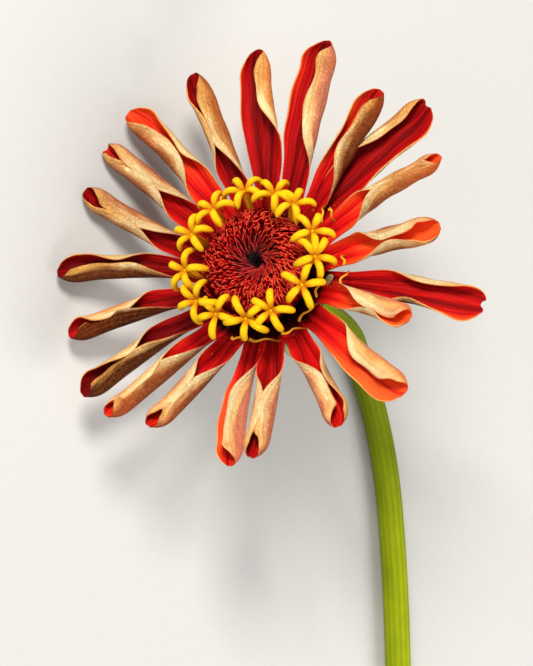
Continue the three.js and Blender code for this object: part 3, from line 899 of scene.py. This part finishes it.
@dataclass
class RayPetals:
    """The whorl of quilled rays, each its own piece, and the ring that they grow from."""

    finish: RayFinish = RayFinish()
    ring_finish: CoreFinish = CoreFinish()
    root_radius: float = 7.0
    root_share: float = 0.45  # share of a side's width that it has at the root
    # Shares of the length between which it widens to its full width.
    widening: tuple[float, float] = (0.18, 0.66)
    narrowing: float = 0.84  # share of the length from which it narrows to the tip
    bend: float = 0.42  # share of the width over which a fold spreads to each side
    arch: float = 10  # how much less steeply a ray rises at its tip than at its root, in degrees
    thickness: float = 0.34
    wave: float = 0.12  # how far the edges' turns wave along the blade, in radians
    pleat: float = 0.20
    sag: float = 0.22  # height of the midrib's slow wave
    crumple: float = 0.09
    frill: float = 0.10  # how far the edges ripple sideways
    # Radius and level of the middle of the ring's section, and half its sizes.
    ring_section: tuple[float, float, float, float] = (7.45, -0.15, 1.35, 0.42)
    rows: int = 66
    columns: int = 45
    seed: int = 100

    def course(self, ray: Ray, steps: int = 120) -> list[Array]:
        """The course of a ray's midrib.

        Each step goes the ray's heading, which sways evenly, at a rise that falls evenly and
        then grows by the scoop over the last fifth.

        Args:
            ray: The ray.
            steps: Steps from root to tip.

        Returns:
            Each step's share of the length, and there the points, left sides and upper sides.
        """
        u = np.arange(steps + 1) / steps
        rise = np.radians(ray.lift + self.arch * (0.5 - u) + ray.scoop * smoothstep(0.78, 1, u))
        heading = ray.azimuth + ray.sway * u
        along = polar(np.cos(rise), heading, np.sin(rise))
        left = polar(1.0, heading + 90, 0.0)
        points = (np.cumsum(along, 0) - along) * ray.length / steps
        return [u, polar(self.root_radius, ray.azimuth, 0.0) + points, left, np.cross(along, left)]

    def section(self, side: Side, reach: Array, s: Array, sway: Array) -> tuple[Array, Array]:
        """One side's cross-section.

        Its tangent turns by the edge's turn times an S-shaped rise centred on the fold.

        Args:
            side: The side.
            reach: Share of the ray's length.
            s: Share of the side's width, from the midrib.
            sway: Radians added to the edge's turn.

        Returns:
            Distances from the midrib, sideways and up: the tangent's cosine and sine averaged
            from the midrib, times the width so far. The width rounds off toward the tip.
        """
        turn = np.radians(through(side.turns, reach)) + sway * s
        wide = self.root_share + (1 - self.root_share) * smoothstep(*self.widening, reach)
        past = np.clip((reach - self.narrowing) / (1 - self.narrowing), 0, 1)
        span = side.half * wide * np.sqrt(1 - 0.88 * past**2) * s
        steps = (np.arange(32) + 0.5) / 32
        share = smoothstep(side.fold - self.bend, side.fold + self.bend, s[..., None] * steps)
        angle = turn[..., None] * share
        return span * np.cos(angle).mean(-1), span * np.sin(angle).mean(-1)

    def middle(self, ray: Ray, u: Array, v: Array, phases: Array) -> Array:
        """The blade's middle surface.

        The two sides' sections stand on the course. Sines of the length and the width add the
        waves, pleats, creases and frills, which grow from the root or fade toward the tip.

        Args:
            ray: The ray.
            u: Share of the length, from root to tip.
            v: Share of the side's width, 1 at the left edge and -1 at the right.
            phases: Of the ray's own ripples.

        Returns:
            Points of the same shape as u, with three coordinates.
        """
        s = np.abs(v)
        back = ray.round * (1 - np.sqrt(1 - 0.97 * v**2)) + ray.notch * np.exp(-((v / 0.3) ** 2))
        reach = u * (1 - back)
        wave = self.wave * np.sin(9 * reach + phases[0] + 2 * v) * smoothstep(0.15, 0.4, reach)
        on_left = self.section(ray.left, reach, s, wave)
        on_right = self.section(ray.right, reach, s, wave)
        side = np.where(v > 0, on_left[0], -on_right[0])
        height = np.where(v > 0, on_left[1], on_right[1])
        pleat = self.pleat * np.cos(3 * pi * v) * (1 - s) * (1 - smoothstep(0.4, 1, reach))
        height = height + pleat + self.sag * np.sin(5 * reach + phases[1]) * reach
        crumple = self.crumple * np.sin(29 * reach + 4 * v + phases[2]) * np.sin(8 * v + phases[3])
        frill = self.frill * s**5 * np.sin(27 * reach + phases[4])
        rough = smoothstep(0.2, 0.5, reach)
        side = side + (frill + 0.5 * crumple) * rough
        height = height + crumple * rough
        shares, *lines = self.course(ray)
        points, left, up = (read_off(reach, shares, line) for line in lines)
        return points + side[..., None] * left + height[..., None] * up

    def blade(self, ray: Ray, number: int) -> Surface:
        """One ray as a closed thin blade.

        Args:
            ray: The ray.
            number: Its place in the whorl, which also seeds its ripples.

        Returns:
            The blade, thinner toward its edges, in the head's frame.
        """
        phases = np.random.default_rng(self.seed + number).uniform(0, 2 * pi, 5)
        u, v = grid(self.rows, self.columns)
        rim = np.maximum(np.abs(v) ** 8, smoothstep(0.93, 1, u))
        half = self.thickness / 2 * (1 - 0.55 * rim)
        tan = ray.right.tan + (ray.left.tan - ray.right.tan) * smoothstep(-0.3, 0.3, v)
        upper = np.array([1.0, 0.0])[:, None, None]
        return Surface.blades(
            self.middle(ray, u, v, phases)[None], half, along=u, across=v, upper=upper,
            blush=ray.blush, tan=tan, glow=ray.glow, number=number,
        )

    def ring(self) -> Surface:
        """The ring under the rays' roots.

        Returns:
            A rounded rectangle turned about the head's axis: the square roots of a turn's cosine
            and sine, with their signs, give its radius and level.
        """
        stations, sides = 96, 16
        turn = np.arange(sides) / sides * 2 * pi
        across, up = (np.sign(x) * np.abs(x) ** 0.5 for x in (np.cos(turn), np.sin(turn)))
        radius, level, half_wide, half_high = self.ring_section
        azimuth = np.arange(stations)[:, None] * 360 / stations
        points = polar(radius + half_wide * across, azimuth, level + half_high * up)
        at = np.arange(stations * sides).reshape(stations, sides)
        after, beyond = np.roll(at, -1, 0), np.roll(at, -1, 1)
        faces = np.stack([at, after, np.roll(after, -1, 1), beyond], -1)
        # The ring carries no far value, so its finish paints it all black, as shade under the
        # roots.
        return Surface(points.reshape(-1, 3), [faces.reshape(-1, 4)])

    def build(self) -> list[Piece]:
        """Builds and dresses every ray and the ring."""
        rays = {f"ray_petal_{n:02d}": self.blade(ray, n) for n, ray in enumerate(RAYS, 1)}
        whorl = dressed(rays, self.finish.material())
        return whorl + dressed({"ray_ring": self.ring()}, self.ring_finish.material())


# Disc


@dataclass
class Disc:
    """The disc: a dark core with several hundred fine scales bowed in toward its eye."""

    finish: ChaffFinish = ChaffFinish()
    core_finish: CoreFinish = CoreFinish()
    foot: float = 5.8
    radius: float = 7.3
    # Radii and levels of the core's side below its shoulder.
    waist: tuple[tuple[float, float], ...] = ((6.6, 2.2), (7.0, 3.2))
    bed: float = 0.35  # how far the core lies below the level that the scales follow
    eye: float = 4.6
    crest: float = 7.4
    crest_radius: float = 5.0
    drop: float = 1.1  # how far the shoulder falls from the crest to the side
    eye_shift: tuple[float, float] = (0.78, 1.14)  # how far the eye lies off the head's axis
    rim_shift: tuple[float, float] = (0.85, 0.85)  # how far the dome's rim does
    dark: tuple[float, float] = (-0.5, 0.4)  # how far the middle of the dark zone, partly painted shade, lies off the eye
    scales: int = 600
    curls: int = 480  # how many short curled tips crowd its outer half
    side_scales: int = 84
    stations: int = 8
    seed: int = 11

    def level(self, r: Array) -> Array:
        """Level of the dome.

        Args:
            r: Distance from the axis.

        Returns:
            The eye's level, raised to the crest by a squared sine, then falling as a square.
        """
        rise = np.sin(pi / 2 * np.minimum(r / self.crest_radius, 1)) ** 2
        fall = np.maximum(r - self.crest_radius, 0) / (self.radius - self.crest_radius)
        return self.eye + (self.crest - self.eye) * rise - self.drop * fall**2

    def shifted(self, points: Array) -> Array:
        """Makes the dome lean: its rim moves by one shift and its eye by another.

        Args:
            points: Points round the head's axis.

        Returns:
            The points, moved the more the higher they are and with the eye's share of each.
        """
        r = np.linalg.norm(points[..., :2], axis=-1, keepdims=True)
        share = np.clip(1 - r / self.radius, 0, 1)
        eye, rim = np.array([*self.eye_shift, 0.0]), np.array([*self.rim_shift, 0.0])
        return points + (rim + share * (eye - rim)) * smoothstep(2.5, 6, points[..., 2:])

    def core(self) -> Surface:
        """The core.

        Returns:
            A profile of radius and level turned about the axis, closed at both poles.
        """
        r = self.radius * np.linspace(0, 1, 26)
        pole, base = 0.02, -0.5
        profile = np.concatenate([
            [[pole, base], [self.foot, base], [self.foot, 1.0], *self.waist],
            np.stack([r, self.level(r) - self.bed], -1)[::-1],
        ])
        profile[-1, 0] = pole
        points = self.shifted(polar(profile[:, :1], FULL_TURN, profile[:, 1:]))
        # Below level 3 the core takes no far value, so its finish paints it black, as shade under
        # the scales.
        far = np.where(profile[:, 1:] > 3, profile[:, :1] / self.radius, 0.0)
        return Surface.tubes(points[None], far=far)

    def threads(
        self, r: Array, azimuth: Array, lean: Array, swirl: Array, rise: Array, wide: Array,
        bright: Array,
    ) -> Surface:
        """Tapering threads that arch over the dome toward the eye.

        With t from root to tip, the distance falls by the lean times t to the 1.2, the swirl
        grows as t squared, and the height over the dome is the rise times the sine of 0.1 + 2.6 t.

        Args:
            r: Distances of the roots from the axis.
            azimuth: Of the roots.
            lean: How far each tip lies nearer to the axis than its root.
            swirl: How far it lies round the axis.
            rise: How high the arch stands over the dome.
            wide: Half widths, which broadcast to (count, stations).
            bright: How bright each one is.

        Returns:
            The threads, with the values that the scales' finish reads.
        """
        t = np.linspace(0, 1, self.stations)
        inward = r[:, None] - lean[:, None] * t**1.2
        aside = np.degrees(swirl[:, None] * t**2 / np.maximum(inward, 0.9))
        over = rise[:, None] * np.sin(0.1 + 2.6 * t) - 0.3 * (1 - t)
        path = polar(inward, azimuth[:, None] + aside, self.level(inward) + over)
        far = np.linalg.norm(path[..., :2] - self.dark, axis=-1) / self.radius
        return Surface.tubes(
            self.shifted(swept(path, wide, 0.8 * wide, 4, UP)), along=t[:, None],
            far=far[..., None], bright=bright[:, None, None],
        )

    def top_scales(self) -> Surface:
        """Fine scales over the top.

        Returns:
            Scales set by the golden angle, long near the eye and short outside.
        """
        draw = np.random.default_rng(self.seed)
        n = np.arange(self.scales)
        r = 7.6 * np.sqrt((n + 24) / (self.scales + 24)) + draw.normal(0, 0.08, self.scales)
        azimuth = n * GOLDEN_ANGLE + draw.normal(0, 2.5, self.scales)
        near = 1 - smoothstep(2.6, 6.4, r)
        lean = 0.9 + 1.1 * near + draw.normal(0, 0.2, self.scales)
        lean = np.minimum(lean, r - draw.uniform(0.35, 1.0, self.scales))
        swirl = 0.35 + 0.35 * near + draw.normal(0, 0.28, self.scales)
        rise = 0.95 - 0.30 * near + draw.normal(0, 0.13, self.scales)
        bright = 0.5 + draw.normal(0, 0.25, self.scales)
        taper = 1.05 - 0.75 * np.linspace(0, 1, self.stations) ** 1.5
        wide = (0.125 - 0.045 * near)[:, None] * taper
        return self.threads(r, azimuth, lean, swirl, rise, wide, bright)

    def fringe(self) -> Surface:
        """Short curled tips that crowd the outer half of the top.

        Returns:
            Threads at random places, in random directions.
        """
        draw = np.random.default_rng(self.seed + 1)
        r = np.sqrt(draw.uniform(4.2**2, 7.7**2, self.curls))
        azimuth = draw.uniform(0, 360, self.curls)
        lean = draw.uniform(0.2, 1.1, self.curls)
        swirl = draw.normal(0.3, 0.35, self.curls)
        rise = draw.uniform(0.85, 1.3, self.curls)
        bright = 0.6 + draw.normal(0, 0.3, self.curls)
        wide = 0.098 * (1.05 - 0.6 * np.linspace(0, 1, self.stations))[None]
        return self.threads(r, azimuth, lean, swirl, rise, wide, bright)

    def side(self) -> Surface:
        """Broad upright scales round the side, in two rows, dark with red tips; their dark is
        partly their own and partly painted shade.

        Returns:
            Flat tubes bowed over the waist, with rounded tips.
        """
        draw = np.random.default_rng(self.seed + 2)
        n = np.arange(self.side_scales)
        azimuth = n * 360 / self.side_scales + draw.normal(0, 1.2, self.side_scales)
        row = n % 2
        foot = polar(self.foot + 0.35 + 0.25 * row, azimuth, 0.6)
        waist = polar(7.0 + 0.3 * row, azimuth, 3.4)
        rise = 6.3 - 0.5 * row + draw.normal(0, 0.25, self.side_scales)
        tip = polar(7.15 + 0.15 * row, azimuth + 1.5, rise)
        bright = 0.1 + draw.normal(0, 0.06, self.side_scales)
        along = np.linspace(0, 1, 9)
        path = bow(foot, waist * 1.02, tip, len(along))
        wide = 0.42 * np.sqrt(np.maximum(1 - along**4, 0.02))
        points = swept(path, wide, 0.10, 6, unit(foot * [1, 1, 0])[:, None])
        return Surface.tubes(
            points, along=0.62 * along[:, None], far=1.0, bright=bright[:, None, None]
        )

    def build(self) -> list[Piece]:
        """Builds and dresses the core, the scales with their fringe, and the side."""
        top = Surface.joined([self.top_scales(), self.fringe()])
        scales = {"disc_side_scales": self.side(), "disc_scales": top}
        core = dressed({"disc_core": self.core()}, self.core_finish.material())
        return core + dressed(scales, self.finish.material())


# Florets


@dataclass(frozen=True)
class Floret:
    """One open floret."""

    azimuth: float
    radius: float
    turn: float
    lean: float  # how far the star faces outward of its tube's direction, in degrees


FLORETS = (
    Floret(90, 10.1, 14, 2),
    Floret(64, 10.2, 50, 0),
    Floret(46, 10.3, 10, 4),
    Floret(18, 10.4, 30, 2),
    Floret(-3, 10.3, 52, 6),
    Floret(-28, 9.5, 15, -6),
    Floret(-63, 8.6, 50, -4),
    Floret(-88, 8.5, 36, 8),
    Floret(-119, 8.4, 5, 2),
    Floret(-144, 8.7, 35, 6),
    Floret(-176, 8.7, 20, 4),
    Floret(149, 8.9, 55, 2),
    Floret(120, 9.1, 8, 4),
)


@dataclass
class YellowFlorets:
    """The ring of open florets, each a tube and a star of lobes."""

    finish: FloretFinish = FloretFinish()
    root_radius: float = 7.3
    root_level: float = 4.4
    level: float = 9.3
    length: float = 3.6  # of a lobe from the star's middle
    width: float = 0.54  # half the width of a lobe
    flatness: float = 0.78  # thickness of a lobe as a share of its width
    lobe_count: int = 5  # lobes of a star and ribs of its tube
    seed: int = 5

    def frame(self, floret: Floret) -> tuple[Array, Array, Array, Array]:
        """Where a floret stands.

        Args:
            floret: The floret.

        Returns:
            The root and the star's middle, and two directions square to the way the star faces:
            round the head's axis, and toward it.
        """
        root = polar(self.root_radius, floret.azimuth, self.root_level)
        star = polar(floret.radius, floret.azimuth, self.level)
        outward = polar(1.0, floret.azimuth, 0.0)
        tilt = radians(floret.lean)
        axis = unit(cos(tilt) * unit(star - root) + sin(tilt) * outward)
        u = np.cross(UP, outward)
        return root, star, u, np.cross(axis, u)

    def tube(self, floret: Floret, sides: int = 20) -> Surface:
        """A floret's tube: narrow at the root, wider at the throat, with soft ribs.

        Args:
            floret: The floret.
            sides: Points round it.

        Returns:
            The tube, whose radius grows by two S-shaped rises.
        """
        root, star, _, _ = self.frame(floret)
        share = np.linspace(0, 1, 14)
        path = (root + share[:, None] * (star - root))[None]
        radius = 0.36 + 0.14 * smoothstep(0.1, 0.6, share) + 0.16 * smoothstep(0.75, 1, share)
        turn = np.arange(sides) / sides
        ribs = 1 + 0.05 * np.cos(2 * pi * self.lobe_count * turn)
        points = swept(path, radius, radius, sides, np.array([0.3, 0.1, 1.0]), ribs)
        return Surface.tubes(points, tube=0.97 * share[:, None], turn=turn, top=0.2, out=0.0)

    def lobes(self, floret: Floret, draw: np.random.Generator) -> Surface:
        """A floret's plump lobes.

        Each lobe's path leaves the throat, arches over and droops; its section is an ellipse,
        and its half width rounds off to the tip like a finger's.

        Args:
            floret: The floret.
            draw: Source of the random draws.

        Returns:
            The lobes.
        """
        _, star, u, w = self.frame(floret)
        axis = np.cross(u, w)
        n = self.lobe_count
        angle = np.radians(floret.turn + 360 / n * np.arange(n) + draw.normal(0, 4, n))
        out = np.cos(angle)[:, None] * u + np.sin(angle)[:, None] * w
        s = np.linspace(0, 1, 15)
        size = self.length * (1 + draw.normal(0, 0.05, n))[:, None]
        droop = (1.0 + draw.normal(0, 0.28, n))[:, None]
        reach = size * (0.1 + 0.9 * s - 0.12 * s**4)
        rise = -0.25 + 0.95 * np.sin(pi * np.minimum(s * 0.95, 1)) ** 0.8 - droop * s**3
        bend = draw.normal(0, 0.25, n)[:, None] * s**2
        path = (
            star + reach[..., None] * out[:, None, :] + rise[..., None] * axis
            + bend[..., None] * np.cross(axis, out)[:, None, :]
        )
        finger = np.sqrt(np.maximum(1 - np.maximum((s - 0.72) / 0.28, 0) ** 2, 0.012))
        wide = self.width * finger * (0.72 + 0.28 * smoothstep(0, 0.35, s))
        thick = wide * self.flatness
        points = swept(path, wide, thick, 14, axis)
        # How near the upper side of its lobe a point is, which the finish paints lighter as painted
        # light.
        top = ((points - path[:, :, None, :]) @ axis) / np.maximum(thick, 1e-3)[:, None]
        top = np.clip(0.5 + 0.5 * top, 0, 1)
        return Surface.tubes(points, tube=1.0, turn=0.0, top=top, out=s[:, None])

    def build(self) -> list[Piece]:
        """Builds and dresses each floret as a piece of its own."""
        draw = np.random.default_rng(self.seed)
        return dressed({
            f"yellow_floret_{n:02d}": Surface.joined([self.tube(floret), self.lobes(floret, draw)])
            for n, floret in enumerate(FLORETS, 1)
        }, self.finish.material())


# Styles


@dataclass(frozen=True)
class Style:
    """One thread, which lies round the head's axis."""

    azimuth: float
    sweep: float  # how far round the axis it runs, in degrees
    radius: float
    outward: float  # how much further out its tip is
    level: float


STYLES = (
    Style(-10, -17, 9.1, 0.3, 3.2),
    Style(-29, -23, 9.6, -0.3, 2.8),
    Style(-50, -20, 10.3, -0.7, 2.6),
    Style(-72, -27, 9.9, -0.4, 2.6),
    Style(-112, 10, 9.5, -0.3, 2.8),
    Style(-3, -12, 13.0, -0.8, 3.4),
    Style(8, -9, 12.2, 0.6, 3.6),
    Style(-104, -10, 9.4, 0.5, 3.0),
    Style(118, -6, 11.2, 1.6, 4.6),
    Style(136, 5, 11.0, 0.5, 4.4),
    Style(43, -11, 13.2, -1.6, 4.4),
    Style(30, 7, 12.9, 0.7, 4.2),
)


@dataclass
class Styles:
    """The forked threads at the roots of the rays."""

    finish: StyleFinish = StyleFinish()
    radius: float = 0.14
    wave: float = 0.17  # how far it waves sideways
    fork: float = 0.13  # how far each arm parts from the middle
    seed: int = 23

    def thread(self, style: Style, draw: np.random.Generator) -> Surface:
        """One thread with a fork: two arms along one path that part over its outer part.

        Args:
            style: The thread.
            draw: Source of the random draws.

        Returns:
            Both arms. Their level is an arch, and their radius grows evenly with a gentle wave.
        """
        t = np.linspace(0, 1, 18)
        wave = self.wave * np.sin(3 * pi * t + draw.uniform(0, 2 * pi))
        part = np.array([[-1.0], [1.0]]) * self.fork * smoothstep(0.3, 1, t)
        radius = style.radius + style.outward * t + wave + part
        level = style.level - 1.5 * (1 - t) ** 3 + 0.35 * np.sin(pi * t) + 0.5 * part
        path = polar(radius, style.azimuth + style.sweep * t, level)
        size = self.radius * (1 - 0.35 * t**2)
        return Surface.tubes(swept(path, size, size, 6, UP), along=t[:, None])

    def build(self) -> list[Piece]:
        """Builds and dresses the threads as one piece."""
        draw = np.random.default_rng(self.seed)
        threads = [self.thread(style, draw) for style in STYLES]
        return dressed({"styles": Surface.joined(threads)}, self.finish.material())


# Cup of bracts


@dataclass
class Involucre:
    """The cup of overlapping green bracts under the rays."""

    finish: BractFinish = BractFinish()
    top_radius: float = 8.05
    top: float = -0.9
    base_radius: float = 2.9
    base: float = -9.4
    rows: int = 4
    bracts: int = 12
    half_angle: float = 18.5  # half a bract's width, in degrees round the cup
    half_thick: float = 0.11
    # Azimuth, radius and level of the tip of each inner bract that shows.
    inner: tuple[Point, ...] = ((-9, 11.2, 3.6), (-69, 13.2, 2.4))
    tip_share: float = 0.3  # how much of a bract's change from pale root to dark tip they show

    def wall(self, share: Array, off: Array, azimuth: Array) -> Array:
        """Points on or off the bare cup.

        Args:
            share: How far up the cup they are.
            off: How far out of its surface.
            azimuth: Of each point.

        Returns:
            The points. The cup's radius grows from the base as a power of the share's sine.
        """
        swell = np.sin(pi / 2 * np.clip(share, 0, 1)) ** 0.85
        radius = self.base_radius + (self.top_radius - self.base_radius) * swell
        return polar(radius + off, azimuth, self.base + (self.top - self.base) * share)

    def cup(self) -> Surface:
        """The bare cup inside the bracts, closed at both ends."""
        share = np.linspace(0, 1, 24)[:, None]
        return Surface.tubes(self.wall(share, -0.1, FULL_TURN)[None], along=0.3 * share, across=0.0)

    def scales(self) -> Surface:
        """The bracts: rounded blades that lie on the cup like tiles, each row half a step on.

        Returns:
            The blades. Their outline is an ellipse's upper half over nearly straight sides, and
            they stand off the cup more toward their tips.
        """
        row, index = np.divmod(np.arange(self.rows * self.bracts)[:, None, None], self.bracts)
        u, v = grid(14, 11)
        foot, tip = row / self.rows - 0.2, (row + 1.0) / self.rows
        share = foot + (tip - foot) * u * (1 - 0.25 * np.abs(v) ** 3)
        half = self.half_angle * (0.75 + 0.25 * smoothstep(0, 0.4, u)) * np.sqrt(1 - 0.85 * u**6)
        azimuth = (index + row % 2 / 2) * 360 / self.bracts + half * v
        off = 0.08 + 0.34 * u + 0.10 * u**4 - 0.10 * v**2
        thick = self.half_thick * (1 - 0.6 * np.maximum(np.abs(v), u) ** 6)
        return Surface.blades(self.wall(share, off, azimuth), thick, along=u, across=v)

    def tips(self) -> Surface:
        """Tips of inner bracts that show between the rays.

        Returns:
            Flat tapering tubes along a bow.
        """
        azimuth, radius, level = np.array(self.inner, float).T
        root = polar(8.7, azimuth - 2, -0.4)
        tip = polar(radius, azimuth, level)
        along, sides = np.linspace(0, 1, 12), 12
        path = bow(root, 0.5 * (root + tip) + [0, 0, 0.8], tip, len(along))
        wide = 0.85 * np.sqrt(np.maximum(1 - along**3, 0.03))
        across = np.cos(2 * pi * np.arange(sides) / sides)
        points = swept(path, wide, 0.09, sides, UP)
        return Surface.tubes(points, along=self.tip_share * along[:, None], across=across)

    def build(self) -> list[Piece]:
        """Builds and dresses the cup with its bracts."""
        whole = Surface.joined([self.cup(), self.scales(), self.tips()])
        return dressed({"bracts": whole}, self.finish.material())


# Stem


@dataclass
class Stem:
    """The stem, from the neck under the head to its cut end on the ground."""

    finish: StemFinish = StemFinish()
    radius: float = 1.9
    neck: float = 2.5
    neck_share: float = 0.1  # share of the stem over which it swells to the neck
    base: float = Involucre.base
    gap: float = 0.3
    # The point where the stem leaves the head, from the head's centre.
    bend: Point = (14.6, -4.4, -10.2)
    # Points along the ground, from the head's centre, each with how far it is lifted off.
    ground: tuple[Point, ...] = (
        (20.2, -7.6, 1.6), (22.9, -12.4, 0.15), (25.0, -18.2, 0), (27.2, -28, 0), (28.6, -42, 0),
        (29.3, -58, 0), (29.8, -76, 0), (29.6, -100, 0),
    )
    slant: float = 1.6  # how much longer the cut end is on its lower side
    # Sizes of the rings that draw in the cut face.
    cut: tuple[float, ...] = (0.93, 0.8, 0.6, 0.35, 0.05)
    steps: int = 220
    sides: int = 84

    def course(self) -> Array:
        """The stem's centre line at even steps.

        A centripetal Catmull-Rom curve through the neck, the bend and the points along the
        ground: between two points it is a cubic whose end slopes come from the points on both
        sides, with knots spaced by the square root of the distances.

        Returns:
            The points, in the row's frame.
        """
        centre = np.array(LIE.centre)
        top = LIE.turn()[:, 2] * (self.base - self.gap)
        level = self.radius * cos(pi / 12) - centre[2]
        points = np.concatenate([[top, self.bend], np.array(self.ground) + [0, 0, level]]) + centre
        ends = [2 * points[0] - points[1], 2 * points[-1] - points[-2]]
        p = np.concatenate([ends[:1], points, ends[1:]])
        d = np.linalg.norm(np.diff(p, axis=0), axis=1)[:, None] ** 0.5
        slope = (p[1:-1] - p[:-2]) / d[:-1] - (p[2:] - p[:-2]) / (d[:-1] + d[1:])
        slope = slope + (p[2:] - p[1:-1]) / d[1:]
        t = np.linspace(0, 1, 40, endpoint=False)[:, None]
        a, b = points[:-1, None, :], points[1:, None, :]
        m0, m1 = (slope[:-1] * d[1:-1])[:, None, :], (slope[1:] * d[1:-1])[:, None, :]
        line = (2 * t**3 - 3 * t**2 + 1) * a + (t**3 - 2 * t**2 + t) * m0
        line = line + (3 * t**2 - 2 * t**3) * b + (t**3 - t**2) * m1
        line = np.concatenate([line.reshape(-1, 3), points[-1:]])
        far = np.concatenate([[0], np.cumsum(np.linalg.norm(np.diff(line, axis=0), axis=1))])
        return read_off(np.linspace(0, far[-1], self.steps), far, line)

    def tube(self) -> Surface:
        """The stem as a ribbed tube, with its cut face drawn in as smaller rings.

        Returns:
            The tube. Its radius swells to the neck by an S-shaped rise and is waved by shallow
            ribs, and it is pressed flat where it would sink into the ground.
        """
        path = self.course()[None]
        share = np.linspace(0, 1, self.steps)
        swell = 1 - smoothstep(0, self.neck_share, share)
        radius = self.radius + (self.neck - self.radius) * swell
        turn = np.arange(self.sides) / self.sides
        ribs = 1 - 0.02 * (0.5 + 0.5 * np.cos(2 * pi * self.finish.ribs * turn))
        points = swept(path, radius, radius, self.sides, UP, ribs)[0]
        tilt = self.slant * (points[..., 2] - path[0, :, None, 2]) / (2 * self.radius)
        points[..., 1] += (1 - smoothstep(0, 0.06, 1 - share))[:, None] * tilt
        points[..., 2] = np.maximum(points[..., 2], 0.0)
        middle = points[-1].mean(0)
        points = np.concatenate([points, [middle + (points[-1] - middle) * k for k in self.cut]])
        along = np.concatenate([share, np.ones(len(self.cut))])[:, None]
        out = np.concatenate([np.ones(self.steps), self.cut])[:, None]
        return Surface.tubes(points[None], along=along, turn=turn, out=out)

    def build(self) -> list[Piece]:
        """Builds and dresses the stem."""
        return [self.tube().build("stem_skin", self.finish.material())]


# Studio


class Light(Enum):
    """The studio's soft lights: place in m from the head, size in m, power in W and colour."""

    KEY = ((-0.20, 0.30, 0.36), 0.17, 2.8, (1.0, 0.97, 0.92))
    FILL = ((-0.40, -0.10, 0.32), 0.40, 0.45, (0.93, 0.96, 1.0))
    LOW = ((0.24, -0.30, 0.32), 0.30, 1.8, (1.0, 0.98, 0.95))


@dataclass
class Studio:
    """Floor, lights and the camera that looks down on the flower."""

    tilt: float = 27.0  # degrees of the line of sight from vertical, about the row's Y axis
    distance: float = 500.0  # from the camera to the level it is aimed at
    frame_height: float = 93.24  # height of the picture there
    # Where the camera is aimed, to the right of and above the head's centre.
    aim: tuple[float, float] = (0.2, -7.4)
    sensor: float = 36.0
    floor_size: float = 3.0  # length of the floor's sides, in m
    floor_colours: tuple[Colour, Colour] = ((0.59, 0.58, 0.555), (0.615, 0.605, 0.58))
    sky: tuple[Colour, float] = ((0.95, 0.97, 1.0), 0.32)

    def floor(self) -> Piece:
        """A pale matte floor with a very faint tooth.

        Returns:
            A square of one face.
        """
        g = Graph("studio floor")
        tooth = g.noise(g.point(), 0.8, 2)
        shade = g.layered(self.floor_colours[0], (tooth, self.floor_colours[1]))
        material = g.finish(shade, 0.75 + tooth * 0.1, 0.2)
        half = self.floor_size / METRES / 2
        corners = np.array([[-1, -1, 0], [1, -1, 0], [1, 1, 0], [-1, 1, 0.0]]) * half
        return Surface(corners, [np.array([[0, 1, 2, 3]])]).build("floor", material)

    def lights(self) -> None:
        """Adds round area lights turned toward the head."""
        for light in Light:
            place, size, power, colour = light.value
            data = bpy.data.lights.new(f"{light.name.lower()}_light", "AREA")
            data.shape, data.size, data.energy, data.color = "DISK", size, power, colour
            lamp = linked(data)
            lamp.location = np.array(LIE.centre) * METRES + np.array(place)
            back = unit(np.array(place))
            side = unit(np.cross([0, 1.0, 0], back))
            turn = np.stack([side, np.cross(back, side), back], 1)
            lamp.rotation_euler = Matrix(turn.tolist()).to_euler()

    def camera(self) -> None:
        """Adds the camera: tilted about the Y axis, so that the row's +Y is up in the picture."""
        data = bpy.data.cameras.new("camera")
        data.sensor_width = self.sensor
        data.lens = self.sensor * self.distance / self.frame_height
        data.dof.use_dof = False
        camera = linked(data)
        t = radians(self.tilt)
        right, back = np.array([cos(t), 0, sin(t)]), np.array([-sin(t), 0, cos(t)])
        target = np.array(LIE.centre) + self.aim[0] * right + np.array([0, self.aim[1], 0])
        camera.location = (target + back * self.distance) * METRES
        camera.rotation_euler = (0, -t, 0)
        bpy.context.scene.camera = camera

    def world(self) -> None:
        """Sets an even, pale surrounding light and plain, unfiltered colours."""
        world = bpy.data.worlds.new("studio")
        world.use_nodes = True
        colour, strength = self.sky
        background = world.node_tree.nodes["Background"]
        background.inputs["Color"].default_value = (*colour, 1)
        background.inputs["Strength"].default_value = strength
        bpy.context.scene.world = world
        bpy.context.scene.view_settings.view_transform = "Standard"

    def build(self) -> Piece:
        """Sets up the studio.

        Returns:
            The floor.
        """
        self.world()
        self.lights()
        self.camera()
        return self.floor()


# The whole


def main() -> None:
    """Builds the flower's pieces over the frame, then the studio round it."""
    logging.basicConfig(level=logging.INFO, format="%(name)s: %(message)s")
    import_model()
    stands_for = {
        "ray_petals": RayPetals(),
        "disc": Disc(),
        "yellow_florets": YellowFlorets(),
        "involucre": Involucre(),
        "stem": Stem(),
    }
    for node, part in stands_for.items():
        for piece in part.build():
            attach(piece, "root")
            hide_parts(node)
            log.info("%s stands for %s: %d faces", piece.name, node, len(piece.data.polygons))
    for piece in Styles().build():
        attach(piece, "root")
        log.info("%s: %d faces", piece.name, len(piece.data.polygons))
    Studio().build()


if __name__ == "__main__":
    main()
